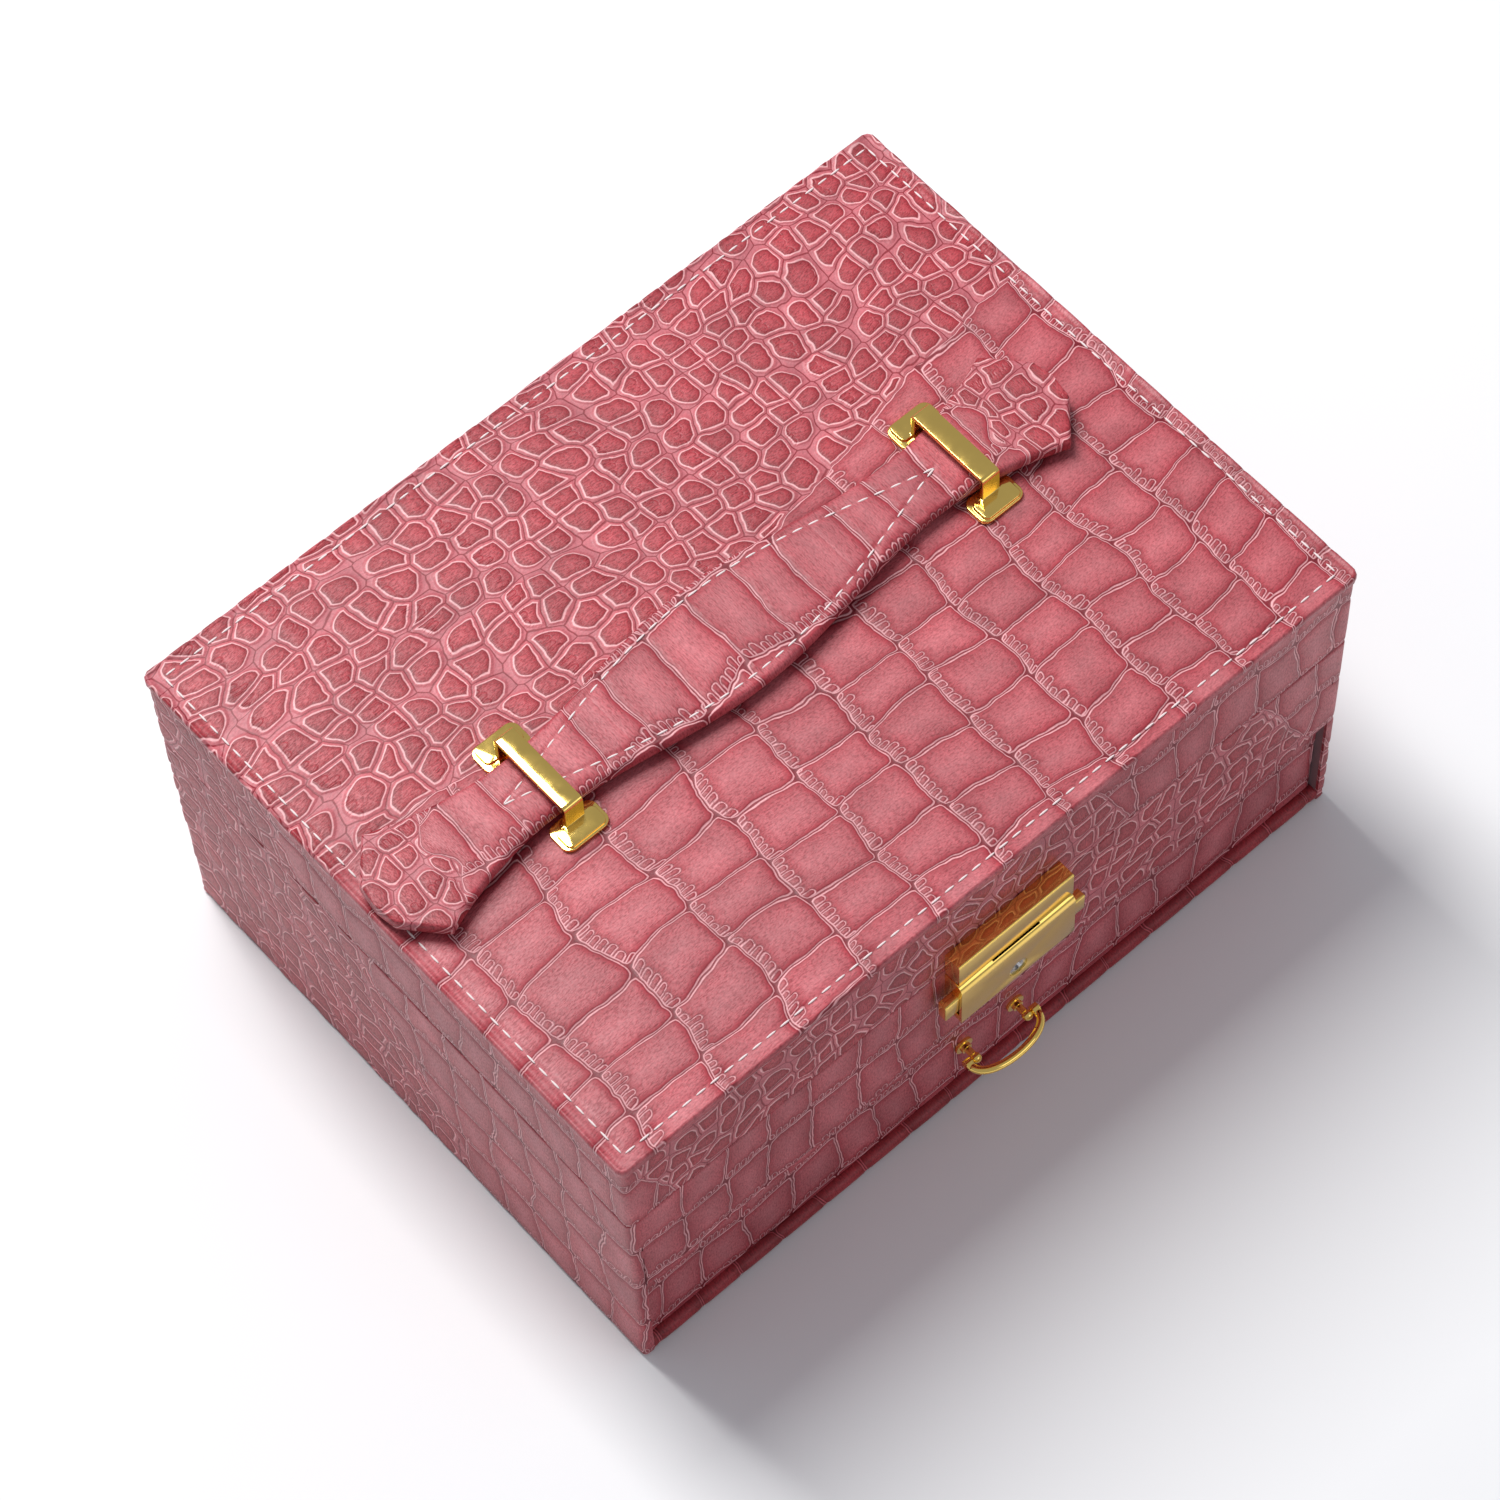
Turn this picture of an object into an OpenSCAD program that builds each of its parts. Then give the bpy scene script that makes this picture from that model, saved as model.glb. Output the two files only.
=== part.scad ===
// Leather jewellery case. Boards covered in leather make a box with a hinged, mirrored lid over a
// velvet tray and a drawer in the base. A strap handle slides and rises in two gilt loops on the lid,
// and a gilt push lock with a key holds the lid shut.
// Frame: origin at the centre of the base on the table, +X along the case, front at -Y, +Z up.

/* [Case] */
// Length of the body over the leather
case_w = 229; // [190:1:280]
// Depth of the body over the leather
case_d = 172; // [140:1:210]
// Height from the table to the top of the lid
case_h = 111; // [106:1:135]
// Height of the seam between body and lid
seam_h = 79; // [76:1:84]
// Gap at the seam
seam_gap = 0.3; // [0.2:0.1:0.6]
// Thickness of the wall boards
board_t = 2.4; // [2:0.1:3]
// Thickness of the covering leather
leather_t = 0.8; // [0.6:0.1:1]
// Thickness of the velvet lining
lining_t = 0.8; // [0.5:0.1:1.2]
// Thickness of the felt under the base
felt_t = 0.6; // [0.4:0.1:1]
// Thickness of the base board
base_t = 4.4; // [3:0.1:6]
// Radius of the upright corners
corner_r = 1.6; // [1.2:0.1:3]

/* [Lid panel] */
// Thickness of the padded panel on the lid
panel_t = 2.6; // [2:0.1:4]
// How far the panel stands out past the lid walls
panel_over = 0.6; // [0:0.1:1.5]
// Margin between the mirror frame and the lid lining
mirror_margin = 16; // [8:1:30]

/* [Tray] */
// Height of the dividers in the tray
divider_h = 25; // [12:1:30]
// Thickness of the padded dividers
divider_t = 3; // [2:0.1:5]
// Width of the front part of the tray, which holds the ring rolls
roll_bay_d = 76; // [60:1:84]
// Length of the ring rolls
roll_len = 118; // [60:1:140]
// Number of ring rolls
roll_count = 5; // [3:1:7]

/* [Drawer] */
// Clear height of the drawer opening
bay_h = 35.4; // [28:0.1:36]
// How far the drawer front stands back from the front of the case
drawer_recess = 2.6; // [0.5:0.1:4]
// Gap round the drawer front
drawer_gap = 0.6; // [0.4:0.1:1.2]
// Thickness of the drawer front board
front_board_t = 3; // [2.6:0.1:5]
// Height of the drawer sides
drawer_side_h = 27; // [15:1:27]
// Distance between the posts of the pull
pull_span = 17; // [14:0.1:40]
// Radius of the wire of the pull
pull_wire_r = 1.1; // [0.8:0.1:1.4]
// Angle of the pull at rest, from hanging straight down
pull_rest = 90; // [20:1:120]

/* [Lock] */
// Width of the lock and hasp
lock_w = 36.4; // [32:0.1:50]
// Offset of the lock from the middle of the front
lock_x = 1.2; // [-4:0.1:4]
// How far the lock case stands out
lock_out = 6; // [5.9:0.1:7.5]
// How far the hasp stands out
hasp_out = 5; // [4.6:0.1:5.8]
// Thickness of the lock case's wall
lock_wall = 0.9; // [0.7:0.1:1]
// Height of the hasp above the seam
hasp_h = 8.4; // [6:0.1:12]
// Travel of the release slider
release_travel = 2.5; // [1.5:0.1:2.5]
// Radius of the key cylinder
key_r = 2.8; // [2.2:0.1:2.9]

/* [Hinges] */
// Distance of each hinge from the middle of the back
hinge_x = 70; // [40:1:80]
// Width of each hinge
hinge_w = 30; // [20:1:40]
// Radius of the hinge pins
pin_r = 1; // [0.8:0.1:1.2]

/* [Handle] */
// Distance of each loop from the middle of the lid
loop_x = 65; // [55:1:78]
// Clear half-width inside a loop
loop_half = 11.4; // [11.2:0.1:14]
// Height of the loops above the lid
loop_h = 10; // [9.4:0.1:14]
// Width of the loop's bar
bar_w = 5.5; // [4:0.1:8]
// Thickness of the loop's bar
bar_t = 1.3; // [1:0.1:2]
// Thickness of the strap
strap_t = 4.4; // [3.4:0.1:4.8]
// Gap between the strap and the lid
strap_lift = 1.5; // [1.4:0.1:2]
// Half-width of the strap at its middle
strap_mid = 16; // [12:0.1:20]
// Half-width of the strap at its necks
strap_neck = 9.3; // [8:0.1:9.6]
// Half-width of the strap's flared ends
strap_flare = 17; // [14:0.1:22]
// How far the strap can slide through the loops
strap_slack = 17.4; // [10:0.1:19]

/* [Hidden] */
$fn = 48;

leather_red = "indianred";
board_tan = "burlywood";
velvet_cream = "wheat";
gilt = "gold";

wall_t = board_t + leather_t;      // side, back and front walls
half_w = case_w / 2;
half_d = case_d / 2;
in_x = half_w - wall_t;            // inner faces of the boards
in_y = half_d - wall_t;
body_top = seam_h - seam_gap / 2;
lid_bot = seam_h + seam_gap / 2;
base_top = felt_t + base_t;
bay_top = base_top + bay_h;
shelf_bot = bay_top + leather_t;
shelf_top = shelf_bot + board_t;
panel_bot = case_h - panel_t;
lid_ceiling = panel_bot - board_t;
edging_d = 3;                      // depth of the leather-wrapped edge of the base
felt_inset = 2;
fit = 0.03;                        // fixings in their holes
slide_fit = 0.2;                   // dividers between walls

// Tray
tray_floor = shelf_top + lining_t;
tray_x = in_x - lining_t;
tray_y = in_y - lining_t;
divider_y = -tray_y + roll_bay_d;  // front face of the long divider
roll_pitch = roll_bay_d / roll_count;
roll_r = roll_pitch / 2 - 0.2;

// Drawer
front_face_y = -half_d + drawer_recess;
front_back_y = front_face_y + leather_t + front_board_t;
drawer_x = in_x - drawer_gap;
drawer_z = base_top + drawer_gap / 2;
drawer_top = bay_top - drawer_gap;
drawer_end_y = in_y - 1;
drawer_side_t = 2.4;
drawer_floor_t = 2;
drawer_side_z = drawer_z + drawer_floor_t;
drawer_floor = drawer_side_z + lining_t;
drawer_box_x = drawer_x - slide_fit - drawer_side_t; // inner faces of the drawer's sides
drawer_in_x = drawer_box_x - lining_t;
drawer_in_back = drawer_end_y - drawer_side_t - lining_t;
drawer_in_front = front_back_y + lining_t;

// Pull: a wire bail whose turned-in ends sit in two posts
pull_z = (drawer_z + drawer_top) / 2;
post_ball_r = 1.4;
post_stem_r = 1;
pull_axis_y = front_face_y - 4.9;
bail_pin_r = 0.65;
eye_w = 2;                         // length of the eye at each end of the bail
bail_half = pull_span / 2 + post_ball_r + 0.1 + eye_w / 2;
bail_depth = 6.1;
bail_steps = 28;
nut_r = 2.2;
nut_h = 1.4;

// Lock
lock_bot = seam_h - 19;
lock_top = seam_h - 1.5;
lock_round = 2.6;
hasp_bot = seam_h - 0.9;
hasp_top = seam_h + hasp_h;
hasp_round = 0.5;
hasp_gap = 0.15;                   // behind the part of the hasp that hangs below the seam
plate_t = 0.8;
key_z = lock_bot + 5;
slider_back = 2.2;                 // distances in front of the leather
slider_front = lock_out - lock_wall - 0.1;
slider_bar_z = key_z + key_r + release_travel + 0.3;
slider_bar_h = 2;
tab_out = 4.2;
tab_z = lock_bot + 5;
tab_h = 6.4;
tab_in = 8;                        // how far a tab reaches inwards from the side of the lock
tongue_half = 7;
tongue_t = 1.3;
tongue_z = slider_bar_z + slider_bar_h + 0.6;
tongue_front = hasp_out - 0.4;
spring_r = 1;
spring_wire_r = 0.2;
spring_turns = 3;
rivet_r = 0.8;
rivet_head_r = 1.5;
rivet_head_h = 0.5;

// Hinges
hinge_y = half_d + 2.3;
knuckle_r = pin_r + 1;
leaf_t = 1;
leaf_h = 12;
knuckle_gap = 0.15;

// Loops
foot_w = 13.5;
foot_in = loop_half - 1.8;
foot_out = loop_half + 6.6;
foot_t = 1.2;
foot_pad_t = 0.8;
foot_round = 2.5;
screw_y = loop_half + bar_t + 2.6;
screw_r = 1.1;
screw_head_r = 2.2;
screw_head_h = 1;

// Strap: five stiff lengths joined at four bending lines
strap_bot = case_h + strap_lift;
strap_mid_z = strap_bot + strap_t / 2;
strap_x = -strap_slack / 2;        // the strap rests slid to the left
neck_u = loop_x - 5;
flare_u = neck_u + 37;
tip_u = flare_u + 8;
tip_half = 8;
bend_u = loop_x - 0.3;             // bending line just inside each loop when the strap is raised
crown_u = 20;                      // bending lines at the two sides of the crown
bend_gap = 0.2;

// ---- shared shapes ----

// A box from its lowest and highest corners
module block(low, high) {
    translate(low)
        cube(high - low);
}

// A rectangle about the origin with round corners
module round_rect(w, d, r) {
    square([w - 2 * r, d], center = true);
    square([w, d - 2 * r], center = true);
    for (sx = [-1, 1])
        for (sy = [-1, 1])
            translate([sx * (w / 2 - r), sy * (d / 2 - r)])
                circle(r);
}

// A plan with round corners, extruded between two heights
module plan(w, d, r, z0, z1) {
    translate([0, 0, z0])
        linear_extrude(height = z1 - z0)
            round_rect(w, d, r);
}

// Extrudes a profile drawn as (distance towards the front, height) along X
module profile_along_x(length) {
    rotate([90, 0, 90])
        linear_extrude(height = length, center = true)
            mirror([1, 0])
                children();
}

// A cylinder along Y from y0 to y1
module rod_y(x, y0, y1, z, r) {
    translate([x, y0, z])
        rotate([-90, 0, 0])
            cylinder(h = y1 - y0, r = r);
}

// A cylinder along X from x0 to x1
module rod_x(x0, x1, y, z, r) {
    translate([x0, y, z])
        rotate([0, 90, 0])
            cylinder(h = x1 - x0, r = r);
}

// ---- fixings that several pieces are drilled for ----

module lock_rivet_shanks(r) {
    for (sx = [-1, 1])
        for (z = [lock_bot + 2.6, lock_top - 3])
            rod_y(lock_x + sx * 11, -half_d - plate_t, -in_y, z, r);
}

module hasp_rivet_shanks(r) {
    for (sx = [-1, 1])
        rod_y(lock_x + sx * 11, -half_d - 2.5, -in_y, seam_h + hasp_h / 2, r);
}

// Two rivets in each leaf: side is -1 for the body and 1 for the lid
module hinge_rivet_shanks(side, r) {
    for (hx = [-hinge_x, hinge_x])
        for (sx = [-1, 1])
            rod_y(hx + sx * hinge_w * 0.3, in_y, half_d + leaf_t, seam_h + side * (leaf_h * 0.7), r);
}

module loop_screw_shanks(r) {
    for (sx = [-1, 1])
        for (sy = [-1, 1])
            translate([sx * loop_x, sy * screw_y, lid_ceiling])
                cylinder(h = case_h + foot_t - 0.2 - lid_ceiling, r = r);
}

module loop_screw_heads(r) {
    for (sx = [-1, 1])
        for (sy = [-1, 1])
            translate([sx * loop_x, sy * screw_y, lid_ceiling])
                cylinder(h = screw_head_h, r = r);
}

// ---- body ----

module base_felt() {
    color("dimgray")
        plan(case_w - 2 * felt_inset, case_d - 2 * felt_inset, corner_r, 0, felt_t);
}

module base_board() {
    color(board_tan)
        block([-in_x, -half_d + edging_d, felt_t], [in_x, in_y, base_top]);
}

// The front edge of the base, wrapped in leather with a rounded nose
module base_edging() {
    nose_r = base_t / 2;
    color(leather_red)
        translate([0, -half_d + edging_d, felt_t])
            profile_along_x(2 * in_x)
                intersection() {
                    square([edging_d, base_t]);
                    union() {
                        square([edging_d - nose_r, base_t]);
                        translate([edging_d - nose_r, nose_r])
                            circle(nose_r);
                    }
                }
}

module side_board(sx) {
    x0 = min(sx * in_x, sx * (half_w - leather_t));
    color(board_tan)
        block([x0, -half_d + leather_t, felt_t], [x0 + board_t, half_d - leather_t, body_top - leather_t]);
}

module left_side_board() {
    side_board(-1);
}

module right_side_board() {
    side_board(1);
}

module back_board() {
    color(board_tan)
        difference() {
            block([-in_x, in_y, felt_t], [in_x, half_d - leather_t, body_top - leather_t]);
            hinge_rivet_shanks(-1, rivet_r + fit);
        }
}

module front_panel_board() {
    color(board_tan)
        difference() {
            block([-in_x, -half_d + leather_t, shelf_bot], [in_x, -in_y, body_top - leather_t]);
            lock_rivet_shanks(rivet_r + fit);
        }
}

module tray_shelf() {
    color(board_tan)
        block([-in_x, -in_y, shelf_bot], [in_x, in_y, shelf_top]);
}

// One skin of leather round the outside, turned in over the top edge and under the front panel
module body_leather() {
    color(leather_red)
        difference() {
            plan(case_w, case_d, corner_r, felt_t, body_top);
            block([-in_x, -in_y, 0], [in_x, in_y, case_h]);
            for (sx = [-1, 1])
                side_board(sx);
            block([-in_x, -half_d - 1, 0], [in_x, -in_y, bay_top]);
            block([-in_x, -half_d + leather_t, shelf_bot], [in_x, -in_y, body_top - leather_t]);
            block([-in_x, in_y, 0], [in_x, half_d - leather_t, body_top - leather_t]);
            lock_rivet_shanks(rivet_r + fit);
            hinge_rivet_shanks(-1, rivet_r + fit);
        }
}

// ---- tray ----

module tray_lining() {
    color(velvet_cream)
        difference() {
            block([-in_x, -in_y, shelf_top], [in_x, in_y, body_top]);
            block([-tray_x, -tray_y, tray_floor], [tray_x, tray_y, case_h]);
        }
}

// Padded rolls with round tops, laid side by side, that grip rings between them
module ring_rolls() {
    color(velvet_cream)
        for (i = [0 : roll_count - 1])
            translate([-tray_x + slide_fit + roll_len / 2, -tray_y + (i + 0.5) * roll_pitch, tray_floor])
                profile_along_x(roll_len) {
                    translate([-roll_r, 0])
                        square([2 * roll_r, roll_r]);
                    translate([0, roll_r])
                        circle(roll_r);
                }
}

module long_divider() {
    color(velvet_cream)
        block([-tray_x + slide_fit, divider_y, tray_floor],
              [tray_x - slide_fit, divider_y + divider_t, tray_floor + divider_h]);
}

module cross_dividers() {
    color(velvet_cream)
        for (sx = [-1, 1])
            translate([sx * tray_x / 3, 0, 0])
                block([-divider_t / 2, divider_y + divider_t, tray_floor],
                      [divider_t / 2, tray_y - slide_fit, tray_floor + divider_h]);
}

module front_divider() {
    x0 = -tray_x + slide_fit + roll_len + slide_fit;
    color(velvet_cream)
        block([x0, -tray_y + slide_fit, tray_floor], [x0 + divider_t, divider_y, tray_floor + divider_h]);
}

// ---- lock on the body ----

module lock_base_plate() {
    side = lock_w / 2 - lock_wall;
    color(gilt)
        difference() {
            block([lock_x - side, -half_d - plate_t, lock_bot + lock_wall],
                  [lock_x + side, -half_d, lock_top - lock_wall]);
            lock_rivet_shanks(rivet_r + fit);
        }
}

// Outline of the lock case seen from its end: square behind, round at the top front edge
module lock_outline(inset) {
    out = lock_out - inset;
    height = lock_top - lock_bot - 2 * inset;
    r = lock_round - inset;
    translate([0, inset]) {
        square([out - r, height]);
        square([out, height - r]);
        translate([out - r, height - r])
            circle(r);
    }
}

module lock_case() {
    color(gilt)
        difference() {
            translate([lock_x, -half_d, lock_bot])
                profile_along_x(lock_w)
                    lock_outline(0);
            translate([lock_x, -half_d, lock_bot])
                profile_along_x(lock_w - 2 * lock_wall)
                    lock_outline(lock_wall);
            block([lock_x - lock_w / 2 + lock_wall, -half_d - 1, lock_bot + lock_wall],
                  [lock_x + lock_w / 2 - lock_wall, -half_d + 1, lock_top - lock_wall]);
            rod_y(lock_x, -half_d - lock_out - 1, -half_d - lock_out + 2 * lock_wall, key_z, key_r + 0.05);
            block([lock_x - tongue_half - 0.5, -half_d - tongue_front - 0.5, lock_top - 2 * lock_wall],
                  [lock_x + tongue_half + 0.5, -half_d - tongue_front + tongue_t + 0.5, lock_top + 1]);
            block([lock_x - lock_w, -half_d - slider_front - 0.1, tab_z - release_travel - 0.2],
                  [lock_x + lock_w, -half_d - slider_back + 0.1, tab_z + tab_h + 0.2]);
        }
}

module lock_rivets() {
    color("silver") {
        lock_rivet_shanks(rivet_r);
        for (sx = [-1, 1])
            for (z = [lock_bot + 2.6, lock_top - 3])
                rod_y(lock_x + sx * 11, -half_d - plate_t - rivet_head_h, -half_d - plate_t, z, rivet_head_r);
    }
}

// A coil of round wire from z0 to z1 with its axis at x, y
module coil(x, y, z0, z1, r, wire_r, turns) {
    steps = 10;
    sides = 6;
    rings = turns * steps;
    points = [
        for (i = [0 : rings])
            for (j = [0 : sides - 1])
                let (a = 360 * i / steps, b = 360 * j / sides, reach = r + wire_r * cos(b))
                    [x + reach * cos(a), y + reach * sin(a),
                     z0 + wire_r + (z1 - z0 - 2 * wire_r) * i / rings + wire_r * sin(b)]
    ];
    skin = [
        for (i = [0 : rings - 1])
            for (j = [0 : sides - 1])
                let (k = (j + 1) % sides)
                    [i * sides + k, (i + 1) * sides + k, (i + 1) * sides + j, i * sides + j]
    ];
    start_cap = [[for (j = [0 : sides - 1]) j]];
    end_cap = [[for (j = [sides - 1 : -1 : 0]) rings * sides + j]];
    polyhedron(points, concat(skin, start_cap, end_cap));
}

// Two coils under the tabs push the release slider back up
module latch_springs() {
    color("silver")
        for (sx = [-1, 1])
            coil(lock_x + sx * (lock_w / 2 - lock_wall - tab_in / 2), -half_d - (slider_back + slider_front) / 2,
                 lock_bot + lock_wall + 0.05, tab_z - 0.05, spring_r, spring_wire_r, spring_turns);
}

// ---- lock pieces that move ----

// A bar behind the front of the lock with a push tab standing out at each end
module release_slider() {
    reach = lock_w / 2 + tab_out;
    y0 = -half_d - slider_front;
    y1 = -half_d - slider_back;
    color(gilt) {
        block([lock_x - reach + tab_out + lock_wall + 0.1, y0, slider_bar_z],
              [lock_x + reach - tab_out - lock_wall - 0.1, y1, slider_bar_z + slider_bar_h]);
        for (sx = [-1, 1]) {
            outer = lock_x + sx * reach;
            inner = outer - sx * (tab_in + tab_out);
            block([min(outer, inner), y0, tab_z], [max(outer, inner), y1, tab_z + tab_h]);
            riser = outer - sx * (tab_out + lock_wall + 0.1);
            block([min(riser, inner), y0, tab_z], [max(riser, inner), y1, slider_bar_z + slider_bar_h]);
            block([lock_x + sx * 5 - 1.5, y1 - 0.7, slider_bar_z],
                  [lock_x + sx * 5 + 1.5, y1, tongue_z + 2.5]);
        }
    }
}

module key_cylinder() {
    front_y = -half_d - lock_out + 0.5;
    color("khaki")
        difference() {
            rod_y(lock_x, front_y, -half_d - plate_t - 0.2, key_z, key_r);
            block([lock_x - 0.5, front_y - 1, key_z - 1.9], [lock_x + 0.5, front_y + 2.6, key_z + 1.9]);
            rod_y(lock_x, front_y - 1, front_y + 2.6, key_z + 0.4, 0.9);
        }
}

// ---- hinges ----

// One leaf with its knuckles: side is -1 for the body and 1 for the lid
module hinge_leaf(hx, side) {
    third = hinge_w / 3;
    near = seam_h + side * (knuckle_r + 0.3);
    far = seam_h + side * (knuckle_r + leaf_h);
    knuckles = side < 0 ? [-1, 1] : [0];
    difference() {
        union() {
            block([hx - hinge_w / 2, half_d, min(near, far)], [hx + hinge_w / 2, half_d + leaf_t, max(near, far)]);
            for (k = knuckles) {
                x0 = hx + k * third - third / 2 + knuckle_gap;
                x1 = hx + k * third + third / 2 - knuckle_gap;
                block([x0, half_d, min(near, seam_h)], [x1, half_d + leaf_t, max(near, seam_h)]);
                rod_x(x0, x1, hinge_y, seam_h, knuckle_r);
            }
        }
        rod_x(hx - hinge_w, hx + hinge_w, hinge_y, seam_h, pin_r + fit);
    }
}

module body_hinge_leaves() {
    color(gilt)
        difference() {
            for (hx = [-hinge_x, hinge_x])
                hinge_leaf(hx, -1);
            hinge_rivet_shanks(-1, rivet_r + fit);
        }
}

module lid_hinge_leaves() {
    color(gilt)
        difference() {
            for (hx = [-hinge_x, hinge_x])
                hinge_leaf(hx, 1);
            hinge_rivet_shanks(1, rivet_r + fit);
        }
}

module hinge_pins() {
    color("silver")
        for (hx = [-hinge_x, hinge_x])
            rod_x(hx - hinge_w / 2, hx + hinge_w / 2, hinge_y, seam_h, pin_r);
}

module hinge_rivets(side) {
    color(gilt) {
        hinge_rivet_shanks(side, rivet_r);
        for (hx = [-hinge_x, hinge_x])
            for (sx = [-1, 1])
                rod_y(hx + sx * hinge_w * 0.3, half_d + leaf_t, half_d + leaf_t + rivet_head_h,
                      seam_h + side * (leaf_h * 0.7), rivet_head_r);
    }
}

module body_hinge_rivets() {
    hinge_rivets(-1);
}

module lid_hinge_rivets() {
    hinge_rivets(1);
}

// ---- lid ----

module lid_front_board() {
    color(board_tan)
        difference() {
            block([-in_x, -half_d + leather_t, lid_bot + leather_t], [in_x, -in_y, lid_ceiling]);
            hasp_rivet_shanks(rivet_r + fit);
        }
}

module lid_back_board() {
    color(board_tan)
        difference() {
            block([-in_x, in_y, lid_bot + leather_t], [in_x, half_d - leather_t, lid_ceiling]);
            hinge_rivet_shanks(1, rivet_r + fit);
        }
}

module lid_side_board(sx) {
    x0 = min(sx * in_x, sx * (half_w - leather_t));
    color(board_tan)
        block([x0, -half_d + leather_t, lid_bot + leather_t], [x0 + board_t, half_d - leather_t, lid_ceiling]);
}

module lid_left_board() {
    lid_side_board(-1);
}

module lid_right_board() {
    lid_side_board(1);
}

module lid_top_board() {
    color(board_tan)
        difference() {
            block([-half_w + leather_t, -half_d + leather_t, lid_ceiling],
                  [half_w - leather_t, half_d - leather_t, panel_bot]);
            loop_screw_shanks(screw_r + fit);
            loop_screw_heads(screw_head_r + fit);
        }
}

// One skin of leather round the lid's walls, turned in over their bottom edge
module lid_leather() {
    color(leather_red)
        difference() {
            plan(case_w, case_d, corner_r, lid_bot, panel_bot);
            block([-in_x, -in_y, 0], [in_x, in_y, case_h]);
            block([-half_w + leather_t, -half_d + leather_t, lid_bot + leather_t],
                  [half_w - leather_t, half_d - leather_t, case_h]);
            hasp_rivet_shanks(rivet_r + fit);
            hinge_rivet_shanks(1, rivet_r + fit);
        }
}

module panel_padding() {
    pad_w = case_w + 2 * panel_over - 2 * leather_t;
    pad_d = case_d + 2 * panel_over - 2 * leather_t;
    color("ivory")
        difference() {
            plan(pad_w, pad_d, corner_r, panel_bot, case_h - leather_t);
            loop_screw_shanks(screw_r + fit);
        }
}

// The stitched leather over the padding and down its edges
module panel_leather() {
    panel_w = case_w + 2 * panel_over;
    panel_d = case_d + 2 * panel_over;
    color(leather_red)
        difference() {
            plan(panel_w, panel_d, corner_r, panel_bot, case_h);
            plan(panel_w - 2 * leather_t, panel_d - 2 * leather_t, corner_r, panel_bot - 1, case_h - leather_t);
            loop_screw_shanks(screw_r + fit);
        }
}

module lid_lining() {
    color(velvet_cream)
        difference() {
            block([-in_x, -in_y, lid_bot], [in_x, in_y, lid_ceiling]);
            block([-tray_x, -tray_y, 0], [tray_x, tray_y, lid_ceiling - lining_t]);
        }
}

mirror_t = 2;
mirror_lip = 3;
mirror_frame_t = 3;
mirror_frame_w = 2 * (tray_x - mirror_margin);
mirror_frame_d = 2 * (tray_y - mirror_margin);
mirror_border = 8;

// Glass held against the lid lining by the frame's lip
module mirror_glass() {
    w = mirror_frame_w - 2 * mirror_border + 2 * mirror_lip;
    d = mirror_frame_d - 2 * mirror_border + 2 * mirror_lip;
    top = lid_ceiling - lining_t;
    color("lightblue")
        block([-w / 2, -d / 2, top - mirror_t], [w / 2, d / 2, top]);
}

module mirror_frame() {
    glass_w = mirror_frame_w - 2 * mirror_border + 2 * mirror_lip + 2 * slide_fit;
    glass_d = mirror_frame_d - 2 * mirror_border + 2 * mirror_lip + 2 * slide_fit;
    open_w = mirror_frame_w - 2 * mirror_border;
    open_d = mirror_frame_d - 2 * mirror_border;
    top = lid_ceiling - lining_t;
    color(leather_red)
        difference() {
            plan(mirror_frame_w, mirror_frame_d, 3, top - mirror_frame_t, top);
            block([-glass_w / 2, -glass_d / 2, top - mirror_t], [glass_w / 2, glass_d / 2, top + 1]);
            block([-open_w / 2, -open_d / 2, 0], [open_w / 2, open_d / 2, top]);
        }
}

// A block on the lid with a tongue that drops into the lock
module hasp() {
    color(gilt)
        difference() {
            union() {
                translate([lock_x, -half_d, hasp_bot])
                    profile_along_x(lock_w) {
                        square([hasp_out - hasp_round, hasp_top - hasp_bot]);
                        square([hasp_out, hasp_top - hasp_bot - hasp_round]);
                        translate([hasp_out - hasp_round, hasp_top - hasp_bot - hasp_round])
                            circle(hasp_round);
                    }
                block([lock_x - tongue_half, -half_d - tongue_front, tongue_z],
                      [lock_x + tongue_half, -half_d - tongue_front + tongue_t, hasp_bot + 1]);
            }
            block([lock_x - lock_w, -half_d - hasp_gap, hasp_bot - 1],
                  [lock_x + lock_w, -half_d + 1, lid_bot]);
            hasp_rivet_shanks(rivet_r + fit);
        }
}

module hasp_rivets() {
    color("silver")
        hasp_rivet_shanks(rivet_r);
}

// ---- handle loops ----

// A loop: two screwed feet with raised pads, two legs and a bar across the strap
module strap_loop(lx) {
    foot_d = foot_out - foot_in;
    foot_y = (foot_in + foot_out) / 2;
    pad_d = foot_out - loop_half;
    pad_y = (loop_half + foot_out) / 2;
    span = 2 * (loop_half + bar_t);
    color(gilt)
        difference() {
            union() {
                for (sy = [-1, 1]) {
                    translate([lx, sy * foot_y, case_h])
                        linear_extrude(height = foot_t)
                            round_rect(foot_w, foot_d, foot_round);
                    translate([lx, sy * pad_y, case_h])
                        linear_extrude(height = foot_t + foot_pad_t)
                            round_rect(foot_w - 2, pad_d - 1, foot_round - 1);
                }
                translate([lx, 0, case_h])
                    profile_along_x(bar_w)
                        difference() {
                            translate([0, loop_h / 2])
                                round_rect(span, loop_h, bar_t);
                            translate([-loop_half, -1])
                                square([2 * loop_half, loop_h - bar_t + 1]);
                        }
            }
            loop_screw_shanks(screw_r + fit);
        }
}

module left_loop() {
    strap_loop(-loop_x);
}

module right_loop() {
    strap_loop(loop_x);
}

module loop_screws() {
    color("silver") {
        loop_screw_shanks(screw_r);
        loop_screw_heads(screw_head_r);
    }
}

// ---- strap handle ----

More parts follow.
